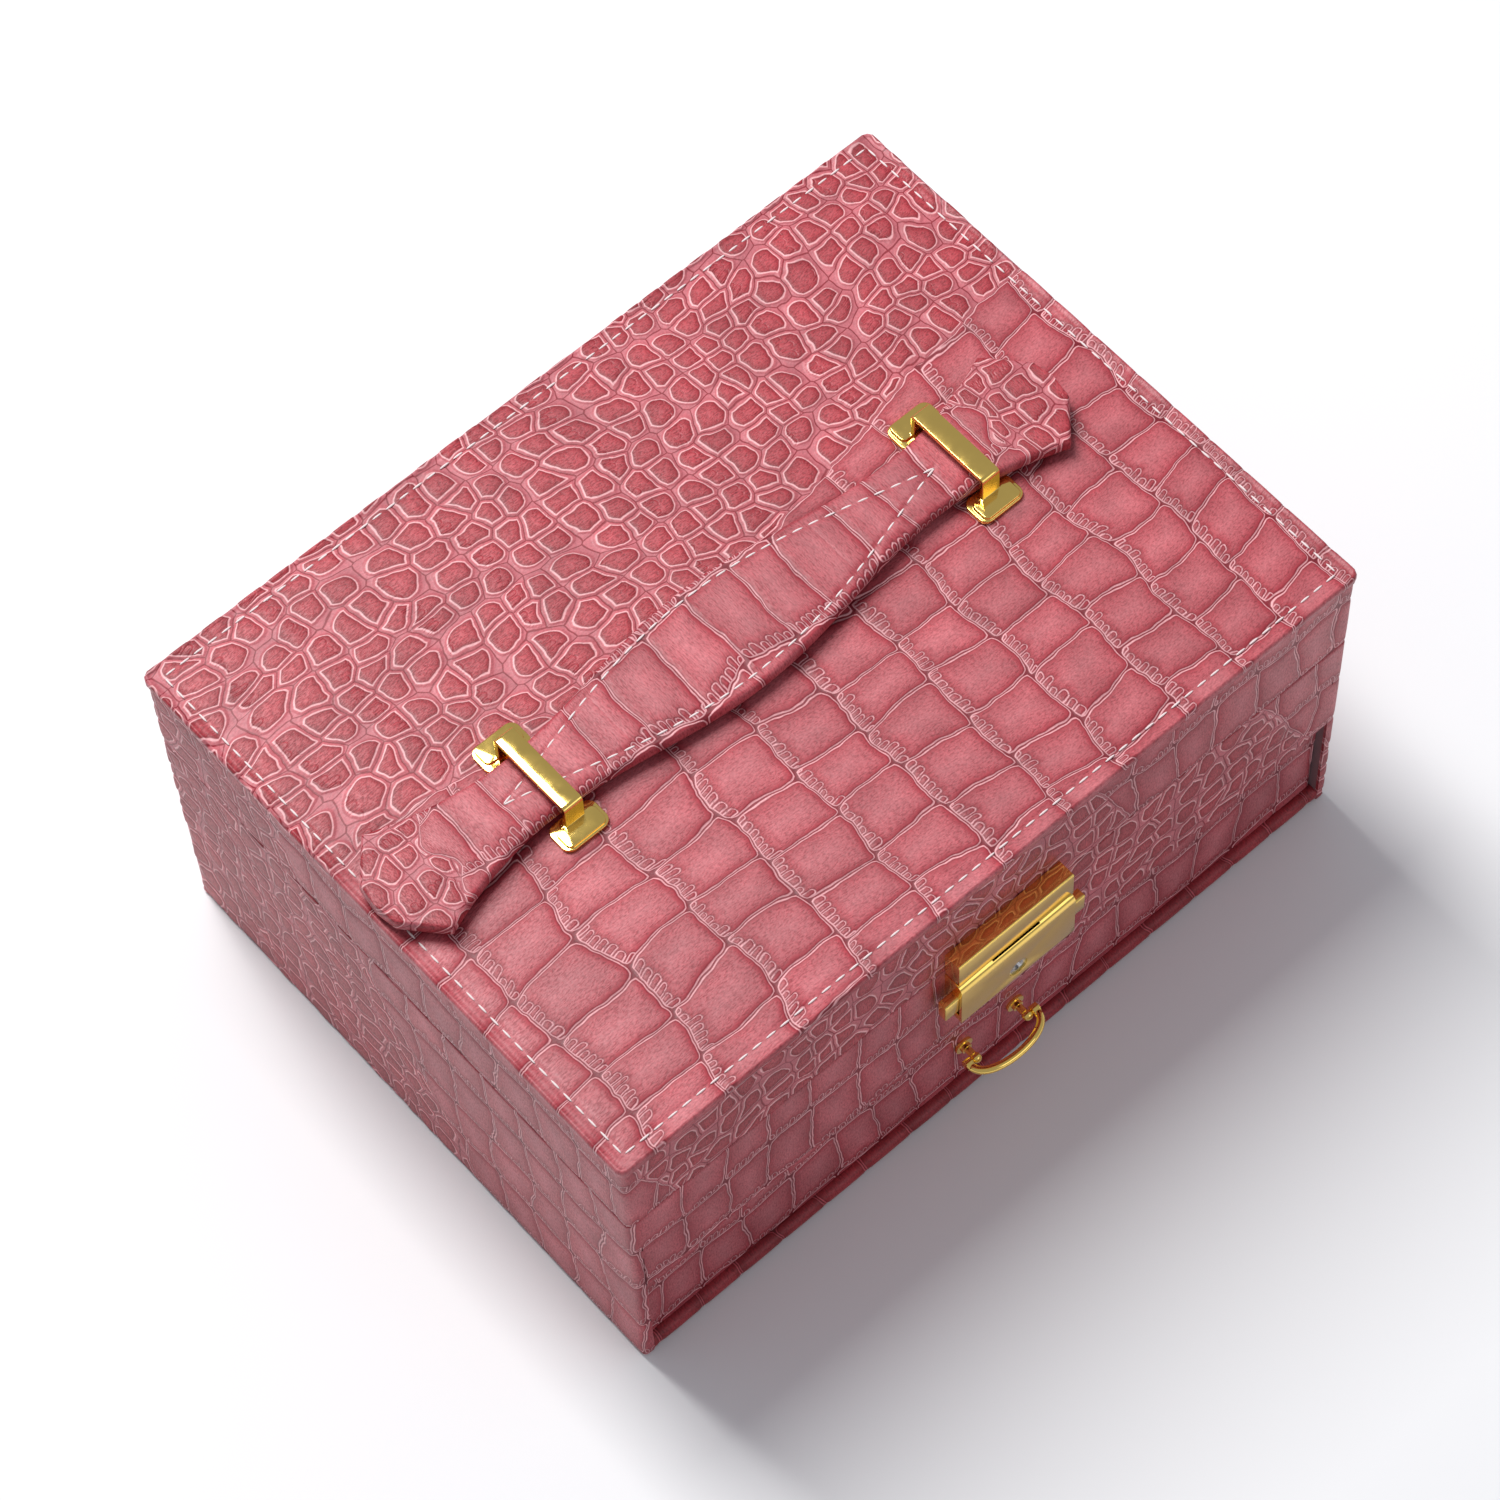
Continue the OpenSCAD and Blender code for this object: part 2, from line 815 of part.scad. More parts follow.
// Half-width of the strap at a distance u from its middle
function strap_half(u) =
    u <= neck_u ? strap_neck + (strap_mid - strap_neck) * pow(cos(90 * u / neck_u), 2)
    : u <= flare_u ? strap_neck + (strap_flare - strap_neck) * pow((u - neck_u) / (flare_u - neck_u), 1.9)
    : strap_flare + (tip_half - strap_flare) * pow((u - flare_u) / (tip_u - flare_u), 1.5);

// The strap's outline between two distances from its middle
module strap_outline(u0, u1) {
    steps = max(2, ceil((u1 - u0) / 4));
    us = [for (i = [0 : steps]) u0 + (u1 - u0) * i / steps];
    polygon(concat(
        [for (u = us) [u, strap_half(abs(u))]],
        [for (i = [steps : -1 : 0]) [us[i], -strap_half(abs(us[i]))]]
    ));
}

// A flat length of strap, with a round end of the strap's own thickness where round_at asks for one
module strap_length(u0, u1, round_at) {
    translate([strap_x, 0, strap_bot])
        linear_extrude(height = strap_t)
            strap_outline(u0, u1);
    for (u = round_at)
        translate([strap_x + u, 0, strap_mid_z])
            rotate([90, 0, 0])
                cylinder(h = 2 * strap_half(abs(u)), r = strap_t / 2, center = true);
}

bend_clear = strap_t / 2 + bend_gap;

module handle_left_end() {
    color(leather_red)
        strap_length(-tip_u, -bend_u, [-bend_u]);
}

module handle_left_span() {
    color(leather_red)
        strap_length(-bend_u + bend_clear, -crown_u - bend_clear, []);
}

module handle_middle() {
    color(leather_red)
        strap_length(-crown_u, crown_u, [-crown_u, crown_u]);
}

module handle_right_span() {
    color(leather_red)
        strap_length(crown_u + bend_clear, bend_u - bend_clear, []);
}

module handle_right_end() {
    color(leather_red)
        strap_length(bend_u, tip_u, [bend_u]);
}

// ---- drawer ----

module pull_bores(r, y0, y1) {
    for (sx = [-1, 1])
        rod_y(sx * pull_span / 2, y0, y1, pull_z, r);
}

module drawer_front_board() {
    color(board_tan)
        difference() {
            block([-drawer_x + leather_t, front_face_y + leather_t, drawer_z + leather_t],
                  [drawer_x - leather_t, front_back_y, drawer_top - leather_t]);
            pull_bores(post_stem_r + fit, front_face_y, front_back_y + 1);
            pull_bores(nut_r + 0.3, front_back_y - nut_h, front_back_y + 1);
        }
}

// Leather over the drawer front, turned round its edges
module drawer_front_leather() {
    color(leather_red)
        difference() {
            block([-drawer_x, front_face_y, drawer_z], [drawer_x, front_back_y, drawer_top]);
            block([-drawer_x + leather_t, front_face_y + leather_t, drawer_z + leather_t],
                  [drawer_x - leather_t, front_back_y + 1, drawer_top - leather_t]);
            pull_bores(post_stem_r + fit, front_face_y - 1, front_back_y);
        }
}

module drawer_side(sx) {
    outer = sx * (drawer_x - slide_fit);
    inner = outer - sx * drawer_side_t;
    color(board_tan)
        block([min(outer, inner), front_back_y, drawer_side_z],
              [max(outer, inner), drawer_end_y, drawer_side_z + drawer_side_h]);
}

module drawer_left_side() {
    drawer_side(-1);
}

module drawer_right_side() {
    drawer_side(1);
}

module drawer_back() {
    x = drawer_box_x;
    color(board_tan)
        block([-x, drawer_end_y - drawer_side_t, drawer_side_z], [x, drawer_end_y, drawer_side_z + drawer_side_h]);
}

module drawer_bottom() {
    color(board_tan)
        block([-drawer_x + slide_fit, front_back_y, drawer_z], [drawer_x - slide_fit, drawer_end_y, drawer_side_z]);
}

module drawer_lining() {
    x = drawer_box_x;
    color(velvet_cream)
        difference() {
            block([-x, front_back_y, drawer_side_z], [x, drawer_end_y - drawer_side_t, drawer_side_z + drawer_side_h]);
            block([-drawer_in_x, drawer_in_front, drawer_floor], [drawer_in_x, drawer_in_back, case_h]);
        }
}

module drawer_dividers() {
    x = drawer_in_x - slide_fit;
    y = (drawer_in_front + drawer_in_back) / 2;
    h = drawer_side_h - 4;
    color(velvet_cream) {
        block([-x, y - divider_t / 2, drawer_floor], [x, y + divider_t / 2, drawer_floor + h]);
        for (sx = [-1, 1])
            translate([sx * x / 3, 0, 0]) {
                block([-divider_t / 2, drawer_in_front + slide_fit, drawer_floor],
                      [divider_t / 2, y - divider_t / 2 - slide_fit, drawer_floor + h]);
                block([-divider_t / 2, y + divider_t / 2 + slide_fit, drawer_floor],
                      [divider_t / 2, drawer_in_back - slide_fit, drawer_floor + h]);
            }
    }
}

// Two turned posts with a stepped collar on the leather and a drilled ball for the wire
module pull_posts() {
    stem = front_back_y - 0.1 - pull_axis_y;
    collar = front_face_y - pull_axis_y;
    color(gilt)
        difference() {
            for (sx = [-1, 1])
                translate([sx * pull_span / 2, pull_axis_y, pull_z])
                    rotate([-90, 0, 0])
                        rotate_extrude() {
                            square([post_stem_r, stem]);
                            translate([0, collar - 0.8])
                                square([2.6, 0.8]);
                            translate([0, collar - 1.8])
                                square([1.5, 1.1]);
                            intersection() {
                                circle(post_ball_r);
                                translate([0, -post_ball_r])
                                    square([post_ball_r, 2 * post_ball_r]);
                            }
                        }
            rod_x(-pull_span, pull_span, pull_axis_y, pull_z, bail_pin_r + 0.05);
        }
}

module pull_nuts() {
    color("silver")
        difference() {
            for (sx = [-1, 1])
                translate([sx * pull_span / 2, front_back_y - nut_h, pull_z])
                    rotate([-90, 0, 0])
                        cylinder(h = nut_h - 0.1, r = nut_r, $fn = 6);
            pull_bores(post_stem_r + fit, front_face_y, front_back_y + 1);
        }
}

// Middle of the pull's wire at step i, hanging straight down from its two eyes
function bail_point(i) =
    let (t = 180 * i / bail_steps)
        [bail_half * cos(t), 0, -bail_depth * pow(sin(t), 0.75)];

// Direction of the pull's wire at step i
function bail_way(i) =
    i == 0 ? [0, 0, -1]
    : i == bail_steps ? [0, 0, 1]
    : let (way = bail_point(i + 1) - bail_point(i - 1)) way / norm(way);

// A bail of round wire, a flattened arc with an eye and a turned-in pin at each end
module drawer_pull() {
    sides = 12;
    pin_in = pull_span / 2 - 1;
    points = [
        for (i = [0 : bail_steps])
            for (j = [0 : sides - 1])
                let (a = 360 * j / sides, way = bail_way(i))
                    bail_point(i) + pull_wire_r * (cos(a) * [-way[2], 0, way[0]] + sin(a) * [0, 1, 0])
    ];
    skin = [
        for (i = [0 : bail_steps - 1])
            for (j = [0 : sides - 1])
                let (k = (j + 1) % sides)
                    [i * sides + j, (i + 1) * sides + j, (i + 1) * sides + k, i * sides + k]
    ];
    start_cap = [[for (j = [sides - 1 : -1 : 0]) j]];
    end_cap = [[for (j = [0 : sides - 1]) bail_steps * sides + j]];
    color(gilt)
        translate([0, pull_axis_y, pull_z])
            rotate([-pull_rest, 0, 0]) {
                polyhedron(points, concat(skin, start_cap, end_cap));
                for (sx = [-1, 1]) {
                    eye = sx * bail_half;
                    rod_x(min(sx * pin_in, eye), max(sx * pin_in, eye), 0, 0, bail_pin_r);
                    rod_x(eye - eye_w / 2, eye + eye_w / 2, 0, 0, pull_wire_r + 0.3);
                }
            }
}

base_felt();
base_board();
base_edging();
left_side_board();
right_side_board();
back_board();
front_panel_board();
tray_shelf();
body_leather();
tray_lining();
ring_rolls();
long_divider();
cross_dividers();
front_divider();
lock_base_plate();
lock_case();
lock_rivets();
latch_springs();
body_hinge_leaves();
hinge_pins();
body_hinge_rivets();
lid_front_board();
lid_back_board();
lid_left_board();
lid_right_board();
lid_top_board();
lid_leather();
panel_padding();
panel_leather();
lid_lining();
mirror_glass();
mirror_frame();
hasp();
hasp_rivets();
lid_hinge_leaves();
lid_hinge_rivets();
left_loop();
right_loop();
loop_screws();
handle_left_end();
handle_left_span();
handle_middle();
handle_right_span();
handle_right_end();
drawer_front_board();
drawer_front_leather();
drawer_left_side();
drawer_right_side();
drawer_back();
drawer_bottom();
drawer_lining();
drawer_dividers();
pull_posts();
pull_nuts();
drawer_pull();
key_cylinder();
release_slider();
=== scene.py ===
import math

import bmesh
import bpy
from mathutils import Euler, Matrix, Vector


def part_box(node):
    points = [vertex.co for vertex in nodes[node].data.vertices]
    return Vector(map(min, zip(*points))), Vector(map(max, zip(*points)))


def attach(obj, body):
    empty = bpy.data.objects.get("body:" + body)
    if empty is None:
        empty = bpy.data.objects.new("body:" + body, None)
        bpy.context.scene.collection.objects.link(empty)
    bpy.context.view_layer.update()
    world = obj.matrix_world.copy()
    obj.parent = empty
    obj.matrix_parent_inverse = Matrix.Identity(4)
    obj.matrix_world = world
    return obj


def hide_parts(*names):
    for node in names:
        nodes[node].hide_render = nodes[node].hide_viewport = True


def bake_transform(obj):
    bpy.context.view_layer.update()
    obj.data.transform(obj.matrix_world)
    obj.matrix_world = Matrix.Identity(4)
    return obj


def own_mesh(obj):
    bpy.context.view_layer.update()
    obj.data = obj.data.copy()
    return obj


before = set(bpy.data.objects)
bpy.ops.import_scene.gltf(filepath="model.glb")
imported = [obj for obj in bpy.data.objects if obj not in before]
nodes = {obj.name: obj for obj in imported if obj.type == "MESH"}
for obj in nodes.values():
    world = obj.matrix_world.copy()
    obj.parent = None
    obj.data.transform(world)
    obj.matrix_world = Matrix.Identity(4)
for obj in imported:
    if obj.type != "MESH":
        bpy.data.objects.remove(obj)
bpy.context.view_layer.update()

# ---------------------------------------------------------------------------
# Camera: a long lens above the front left corner of the case, looking down on the lid.
camera_data = bpy.data.cameras.new("camera")
camera_data.sensor_width = 36
camera_data.lens = 122.94
camera_data.clip_start = 0.05
camera = bpy.data.objects.new("camera", camera_data)
bpy.context.scene.collection.objects.link(camera)
camera_turn = Euler([math.radians(a) for a in (28.3905, 1.7095, -41.4718)])
camera.matrix_world = Matrix.LocRotScale(Vector((-0.37308, -0.46877, 1.15519)), camera_turn, None)
bpy.context.scene.camera = camera
bpy.context.scene.view_settings.view_transform = "Standard"

# ---------------------------------------------------------------------------
# Studio: a pale floor that runs out of sight, an even pale room, and soft boxes above and in front.


def linear(value):
    share = value / 255
    return ((share + 0.055) / 1.055) ** 2.4 if value > 10 else share / 12.92


def tone(red, green, blue):
    """A colour given as 0 to 255 in display values, as linear light."""
    return (linear(red), linear(green), linear(blue), 1.0)


def plain_material(name, colour, roughness, metallic=0.0):
    material = bpy.data.materials.new(name)
    material.use_nodes = True
    shader = material.node_tree.nodes["Principled BSDF"]
    shader.inputs["Base Color"].default_value = colour
    shader.inputs["Roughness"].default_value = roughness
    shader.inputs["Metallic"].default_value = metallic
    return material


def finish_mesh(bm, name, material, angle=35):
    """Turns a finished bmesh into an object with one material, smooth but for edges sharper than angle."""
    mesh = bpy.data.meshes.new(name)
    bm.to_mesh(mesh)
    bm.free()
    mesh.materials.append(material)
    for polygon in mesh.polygons:
        polygon.use_smooth = True
    if angle:
        mesh.set_sharp_from_angle(angle=math.radians(angle))
    made = bpy.data.objects.new(name, mesh)
    bpy.context.scene.collection.objects.link(made)
    return made


floor_mesh = bmesh.new()
bmesh.ops.create_grid(floor_mesh, x_segments=1, y_segments=1, size=6)
pale_floor = plain_material("pale_floor", (0.84, 0.84, 0.84, 1), 0.8)
floor = finish_mesh(floor_mesh, "floor", pale_floor, 0)

world = bpy.data.worlds.new("room")
world.use_nodes = True
background = world.node_tree.nodes["Background"]
background.inputs["Color"].default_value = (0.88, 0.91, 1.0, 1)
background.inputs["Strength"].default_value = 0.4
bpy.context.scene.world = world


def soft_box(name, place, aim, size, power):
    light_data = bpy.data.lights.new(name, "AREA")
    light_data.shape = "RECTANGLE"
    light_data.size, light_data.size_y = size
    light_data.energy = power
    light = bpy.data.objects.new(name, light_data)
    light.location = place
    light.rotation_euler = (Vector(aim) - Vector(place)).to_track_quat("-Z", "Y").to_euler()
    bpy.context.scene.collection.objects.link(light)


soft_box("overhead_box", (-0.05, 0.8, 1.5), (0, 0, 0.1), (0.45, 1.1), 30)
soft_box("front_box", (0.4, -1.3, 0.8), (0, 0, 0.05), (0.9, 0.6), 1.8)

# ---------------------------------------------------------------------------
# Scaled hide: leather embossed with small round scales in some parts and large square ones in others.
# The same pattern is laid out twice, in a shader group that colours it and in a modifier that raises it.
# It is drawn on the attribute "hide" in millimetres: across, along, and the distance into the square scales.


def put(tree, kind, inputs=None, **settings):
    """Adds a node, with its settings, and its inputs given by name or number as values or sockets."""
    made = tree.nodes.new(kind)
    for key, value in settings.items():
        setattr(made, key, value)
    for key, value in (inputs or {}).items():
        if isinstance(value, bpy.types.NodeSocket):
            tree.links.new(value, made.inputs[key])
        else:
            made.inputs[key].default_value = value
    return made


def calc(tree, operation, *values):
    return put(tree, "ShaderNodeMath", dict(enumerate(values)), operation=operation).outputs[0]


def calc_vector(tree, operation, *values):
    return put(tree, "ShaderNodeVectorMath", dict(enumerate(values)), operation=operation).outputs[0]


def noise(tree, at, scale, detail, **more):
    return put(tree, "ShaderNodeTexNoise", {"Vector": at, "Scale": scale, "Detail": detail, **more})


def chance(tree, *parts):
    """A random value from 0 to 1 for each whole-numbered place."""
    at = put(tree, "ShaderNodeCombineXYZ", dict(enumerate(parts))).outputs[0]
    return put(tree, "ShaderNodeTexWhiteNoise", {"Vector": at}, noise_dimensions="3D").outputs["Value"]


def spread(tree, value, old, new=(0.0, 1.0), way="LINEAR"):
    """Carries a value from one range over to another, and holds it at the ends."""
    look = {"Value": value, "From Min": old[0], "From Max": old[1], "To Min": new[0], "To Max": new[1]}
    return put(tree, "ShaderNodeMapRange", look, interpolation_type=way).outputs[0]


def mix_tones(tree, amount, first, second, blend="MIX"):
    look = {0: amount, 6: first, 7: second}
    return put(tree, "ShaderNodeMix", look, data_type="RGBA", blend_type=blend).outputs[2]


def lay_out_scales(tree, hide):
    """Returns sockets: distances in millimetres, where the scales are square, and a shade for each."""
    centre = (0.5, 0.5, 0.5)
    wide = calc_vector(tree, "SUBTRACT", noise(tree, hide, 0.035, 0.0).outputs["Color"], centre)
    fine = calc_vector(tree, "SUBTRACT", noise(tree, hide, 0.17, 1.0).outputs["Color"], centre)
    swayed = calc_vector(tree, "MULTIPLY_ADD", wide, (8.0, 8.0, 9.0), hide)
    swayed = calc_vector(tree, "MULTIPLY_ADD", fine, (1.7, 1.7, 2.2), swayed)
    across, along, zone = put(tree, "ShaderNodeSeparateXYZ", {0: swayed}).outputs

    # Small scales: rounded, about 8 mm across, standing in a lighter net with a crease in it
    small_wide, small_long, small_size, small_r = 8.6, 7.3, 7.8, 4.8
    small_at = calc_vector(tree, "MULTIPLY", swayed, (1 / small_wide, 1 / small_long, 0.0))
    look = {"Vector": small_at, "Scale": 1.0, "Randomness": 0.52}
    net = put(tree, "ShaderNodeTexVoronoi", look, voronoi_dimensions="2D", feature="DISTANCE_TO_EDGE")
    middles = put(tree, "ShaderNodeTexVoronoi", look, voronoi_dimensions="2D", feature="F1")
    crease = calc(tree, "MULTIPLY", net.outputs["Distance"], small_size)
    round_in = calc(tree, "MULTIPLY_ADD", middles.outputs["Distance"], -small_size, small_r)
    small_edge = calc(tree, "MAXIMUM", calc(tree, "MINIMUM", crease, round_in), 0.0)

    # Square scales: long columns, crossed by lines that step a little from column to column
    column_wide, row_long, row_step, corner, bluntness = 20.5, 13.5, 0.35, 2.2, 0.6
    column = calc(tree, "DIVIDE", across, column_wide)
    column_number = calc(tree, "FLOOR", column)
    look = {"W": column_number}
    column_chance = put(tree, "ShaderNodeTexWhiteNoise", look, noise_dimensions="1D").outputs["Value"]
    row = calc(tree, "MULTIPLY_ADD", column_chance, row_step, calc(tree, "DIVIDE", along, row_long))
    square_chance = chance(tree, column_number, calc(tree, "FLOOR", row))
    to_side = calc(tree, "MULTIPLY", calc(tree, "PINGPONG", column, 0.5), column_wide)
    to_end = calc(tree, "MULTIPLY", calc(tree, "PINGPONG", row, 0.5), row_long)
    side_short = calc(tree, "MAXIMUM", calc(tree, "SUBTRACT", corner, to_side), 0.0)
    end_short = calc(tree, "MAXIMUM", calc(tree, "SUBTRACT", corner, to_end), 0.0)
    end_square = calc(tree, "MULTIPLY", end_short, end_short)
    short = calc(tree, "SQRT", calc(tree, "MULTIPLY_ADD", side_short, side_short, end_square))
    rounded = calc(tree, "SUBTRACT", corner, short)
    sharp = calc(tree, "MINIMUM", to_side, to_end)
    sharp_share = calc(tree, "MULTIPLY", sharp, 1 - bluntness)
    blunt = calc(tree, "MULTIPLY_ADD", rounded, bluntness, sharp_share)
    square_edge = calc(tree, "MAXIMUM", calc(tree, "MINIMUM", sharp, blunt), 0.0)

    # Loop-shaped wrinkles of uneven length run in from one side of each column
    finger_pitch, finger_r, finger_least, finger_more, finger_line = 2.1, 0.72, 1.1, 2.0, 0.32
    finger_at = calc(tree, "DIVIDE", along, finger_pitch)
    finger_chance = chance(tree, column_number, calc(tree, "FLOOR", finger_at))
    finger_part = calc(tree, "SUBTRACT", calc(tree, "FRACT", finger_at), 0.5)
    finger_off = calc(tree, "MULTIPLY", finger_part, finger_pitch)
    from_side = calc(tree, "MULTIPLY", calc(tree, "FRACT", column), column_wide)
    finger_length = calc(tree, "MULTIPLY_ADD", finger_chance, finger_more, finger_least)
    past_end = calc(tree, "MAXIMUM", calc(tree, "SUBTRACT", from_side, finger_length), 0.0)
    past_square = calc(tree, "MULTIPLY", past_end, past_end)
    finger = calc(tree, "SQRT", calc(tree, "MULTIPLY_ADD", finger_off, finger_off, past_square))
    finger_edge = calc(tree, "ABSOLUTE", calc(tree, "SUBTRACT", finger, finger_r))
    finger_edge = calc(tree, "ADD", finger_edge, finger_line)

    in_squares = calc(tree, "GREATER_THAN", zone, 0.0)
    in_small = calc(tree, "SUBTRACT", 1.0, in_squares)
    small_share = calc(tree, "MULTIPLY", small_edge, in_small)
    edge = calc(tree, "MULTIPLY_ADD", square_edge, in_squares, small_share)
    edge = calc(tree, "MINIMUM", edge, calc(tree, "ABSOLUTE", zone))
    small_value = put(tree, "ShaderNodeSeparateXYZ", {0: middles.outputs["Color"]}).outputs[0]
    small_shade = calc(tree, "MULTIPLY", small_value, in_small)
    shade = calc(tree, "MULTIPLY_ADD", square_chance, in_squares, small_shade)
    return {"Edge": edge, "Fingers": finger_edge, "Crease": crease, "Squares": in_squares, "Shade": shade}


def new_socket(tree, name, direction, kind):
    tree.interface.new_socket(name=name, in_out=direction, socket_type=kind)


hide_group = bpy.data.node_groups.new("scaled_hide", "ShaderNodeTree")
new_socket(hide_group, "Hide", "INPUT", "NodeSocketVector")
hide_in = hide_group.nodes.new("NodeGroupInput")
hide_out = hide_group.nodes.new("NodeGroupOutput")
for socket_name, socket in lay_out_scales(hide_group, hide_in.outputs["Hide"]).items():
    new_socket(hide_group, socket_name, "OUTPUT", "NodeSocketFloat")
    hide_group.links.new(socket, hide_out.inputs[socket_name])

emboss = bpy.data.node_groups.new("emboss_scales", "GeometryNodeTree")
new_socket(emboss, "Geometry", "INPUT", "NodeSocketGeometry")
new_socket(emboss, "Geometry", "OUTPUT", "NodeSocketGeometry")
emboss_in = emboss.nodes.new("NodeGroupInput")
emboss_out = emboss.nodes.new("NodeGroupOutput")
hide_read = put(emboss, "GeometryNodeInputNamedAttribute", {"Name": "hide"}, data_type="FLOAT_VECTOR")
relief_read = put(emboss, "GeometryNodeInputNamedAttribute", {"Name": "relief"}, data_type="FLOAT")
emboss_edge = lay_out_scales(emboss, hide_read.outputs[0])["Edge"]
groove_deep, dome_high = -0.0003, 0.00018
rim_rise = spread(emboss, emboss_edge, (0.1, 1.3), (groove_deep, 0.0), "SMOOTHSTEP")
dome_rise = spread(emboss, emboss_edge, (1.0, 7.0), (0.0, dome_high), "SMOOTHSTEP")
rise = calc(emboss, "MULTIPLY", calc(emboss, "ADD", rim_rise, dome_rise), relief_read.outputs[0])
outward = put(emboss, "GeometryNodeInputNormal")
lift = put(emboss, "ShaderNodeVectorMath", {0: outward.outputs[0], "Scale": rise}, operation="SCALE")
raise_scales = put(
    emboss, "GeometryNodeSetPosition", {"Geometry": emboss_in.outputs[0], "Offset": lift.outputs[0]}
)
emboss.links.new(raise_scales.outputs[0], emboss_out.inputs[0])


def emboss_scales(obj):
    modifier = obj.modifiers.new("emboss_scales", "NODES")
    modifier.node_group = emboss


def tone_ramp(tree, value, tones, reach):
    """Colours by distance: each of the tones is (distance, colour), up to reach."""
    ramp = put(tree, "ShaderNodeValToRGB", {"Fac": calc(tree, "DIVIDE", value, reach)})
    stops = ramp.color_ramp.elements
    stops.remove(stops[-1])
    stops[0].position, stops[0].color = tones[0][0] / reach, tone(*tones[0][1])
    for place, colour in tones[1:]:
        stops.new(place / reach).color = tone(*colour)
    return ramp.outputs["Color"]


def leather_material(name, small_tones, square_tones, mark_tone):
    """Embossed leather: tones by distance from a groove, and short dark grain inside the scales."""
    material = bpy.data.materials.new(name)
    material.use_nodes = True
    tree = material.node_tree
    shader = tree.nodes["Principled BSDF"]
    hide = put(tree, "ShaderNodeAttribute", attribute_name="hide").outputs["Vector"]
    scales = put(tree, "ShaderNodeGroup", {}, node_tree=hide_group)
    tree.links.new(hide, scales.inputs["Hide"])
    edge, fingers, squares = (scales.outputs[key] for key in ("Edge", "Fingers", "Squares"))
    tone_reach = 4.0
    square_line = calc(tree, "MINIMUM", edge, fingers)
    creased = spread(tree, scales.outputs["Crease"], (0.1, 0.24))
    net_colour = tone_ramp(tree, edge, small_tones, tone_reach)
    small_colour = mix_tones(tree, creased, crease_tone, net_colour)
    square_colour = tone_ramp(tree, square_line, square_tones, tone_reach)
    scale_colour = mix_tones(tree, squares, small_colour, square_colour)

    # Small scales are speckled all over, square ones mostly round their borders
    marks = noise(tree, calc_vector(tree, "MULTIPLY", hide, (0.8, 2.4, 0.0)), 1.0, 2.0, Roughness=0.6)
    middle = spread(tree, edge, (1.0, 1.5))
    border_only = spread(tree, edge, (1.0, 5.0), (0.0, 0.5))
    mark_most = calc(tree, "SUBTRACT", 0.72, calc(tree, "MULTIPLY", squares, border_only))
    mark = spread(tree, marks.outputs["Fac"], (0.46, 0.66), (0.0, mark_most))
    mark_amount = calc(tree, "MULTIPLY", mark, middle)
    marked = mix_tones(tree, mark_amount, scale_colour, mark_tone)

    # Shade changes from scale to scale, in wide clouds and in fine grain
    cloud = noise(tree, hide, 0.11, 2.0)
    pebble = noise(tree, hide, 1.5, 3.0)
    shade_amount = spread(tree, scales.outputs["Shade"], (0.0, 1.0), (0.9, 1.07))
    cloud_amount = spread(tree, cloud.outputs["Fac"], (0.3, 0.7), (0.88, 1.1))
    grain_amount = spread(tree, pebble.outputs["Fac"], (0.3, 0.7), (0.82, 1.14))
    shades = calc(tree, "MULTIPLY", calc(tree, "MULTIPLY", shade_amount, cloud_amount), grain_amount)
    tree.links.new(mix_tones(tree, 1.0, marked, shades, "MULTIPLY"), shader.inputs["Base Color"])
    rough = spread(tree, marks.outputs["Fac"], (0.3, 0.75), (0.4, 0.55))
    tree.links.new(rough, shader.inputs["Roughness"])
    groove = spread(tree, square_line, (0.0, 0.7), way="SMOOTHSTEP")
    height = calc(tree, "MULTIPLY_ADD", pebble.outputs["Fac"], 0.2, groove)
    height = calc(tree, "MULTIPLY_ADD", mark_amount, -0.3, height)
    bump = put(tree, "ShaderNodeBump", {"Strength": 0.7, "Distance": 0.00025, "Height": height})
    tree.links.new(bump.outputs[0], shader.inputs["Normal"])
    shader.inputs["Specular IOR Level"].default_value = 0.4
    shader.inputs["Coat Weight"].default_value = 0.08
    shader.inputs["Coat Roughness"].default_value = 0.35
    return material


crease_tone = tone(134, 24, 38)
# Each tone lies at a distance from the nearest groove, in millimetres
small_tones = [
    (0.0, (186, 96, 104)),
    (0.64, (190, 100, 106)),
    (0.78, (230, 168, 170)),
    (0.94, (226, 162, 164)),
    (1.12, (128, 20, 32)),
    (1.5, (156, 40, 50)),
    (2.4, (174, 60, 68)),
    (4.0, (182, 72, 80)),
]
square_tones = [
    (0.0, (120, 20, 34)),
    (0.12, (140, 36, 48)),
    (0.24, (230, 170, 172)),
    (0.38, (222, 154, 158)),
    (0.56, (134, 26, 40)),
    (0.9, (164, 54, 64)),
    (2.0, (180, 78, 86)),
    (4.0, (190, 100, 106)),
]
case_leather = leather_material("case_leather", small_tones, square_tones, tone(118, 16, 28))


def lay_hide(obj, place, relief):
    """Gives each vertex its place on the hide, in millimetres, and how strongly it is embossed."""
    obj.data.attributes.new("hide", "FLOAT_VECTOR", "POINT")
    obj.data.attributes.new("relief", "FLOAT", "POINT")
    places = [value for vertex in obj.data.vertices for value in place(vertex.co)]
    reliefs = [relief(vertex.co) for vertex in obj.data.vertices]
    obj.data.attributes["hide"].data.foreach_set("vector", places)
    obj.data.attributes["relief"].data.foreach_set("value", reliefs)


def zone(at, marks):
    """Signed distance into the square scales, which change over to small scales at each mark."""
    inside = sum(1 for m in marks if at > m) % 2 == 1
    nearest = min(abs(at - m) for m in marks)
    return nearest if inside else -nearest


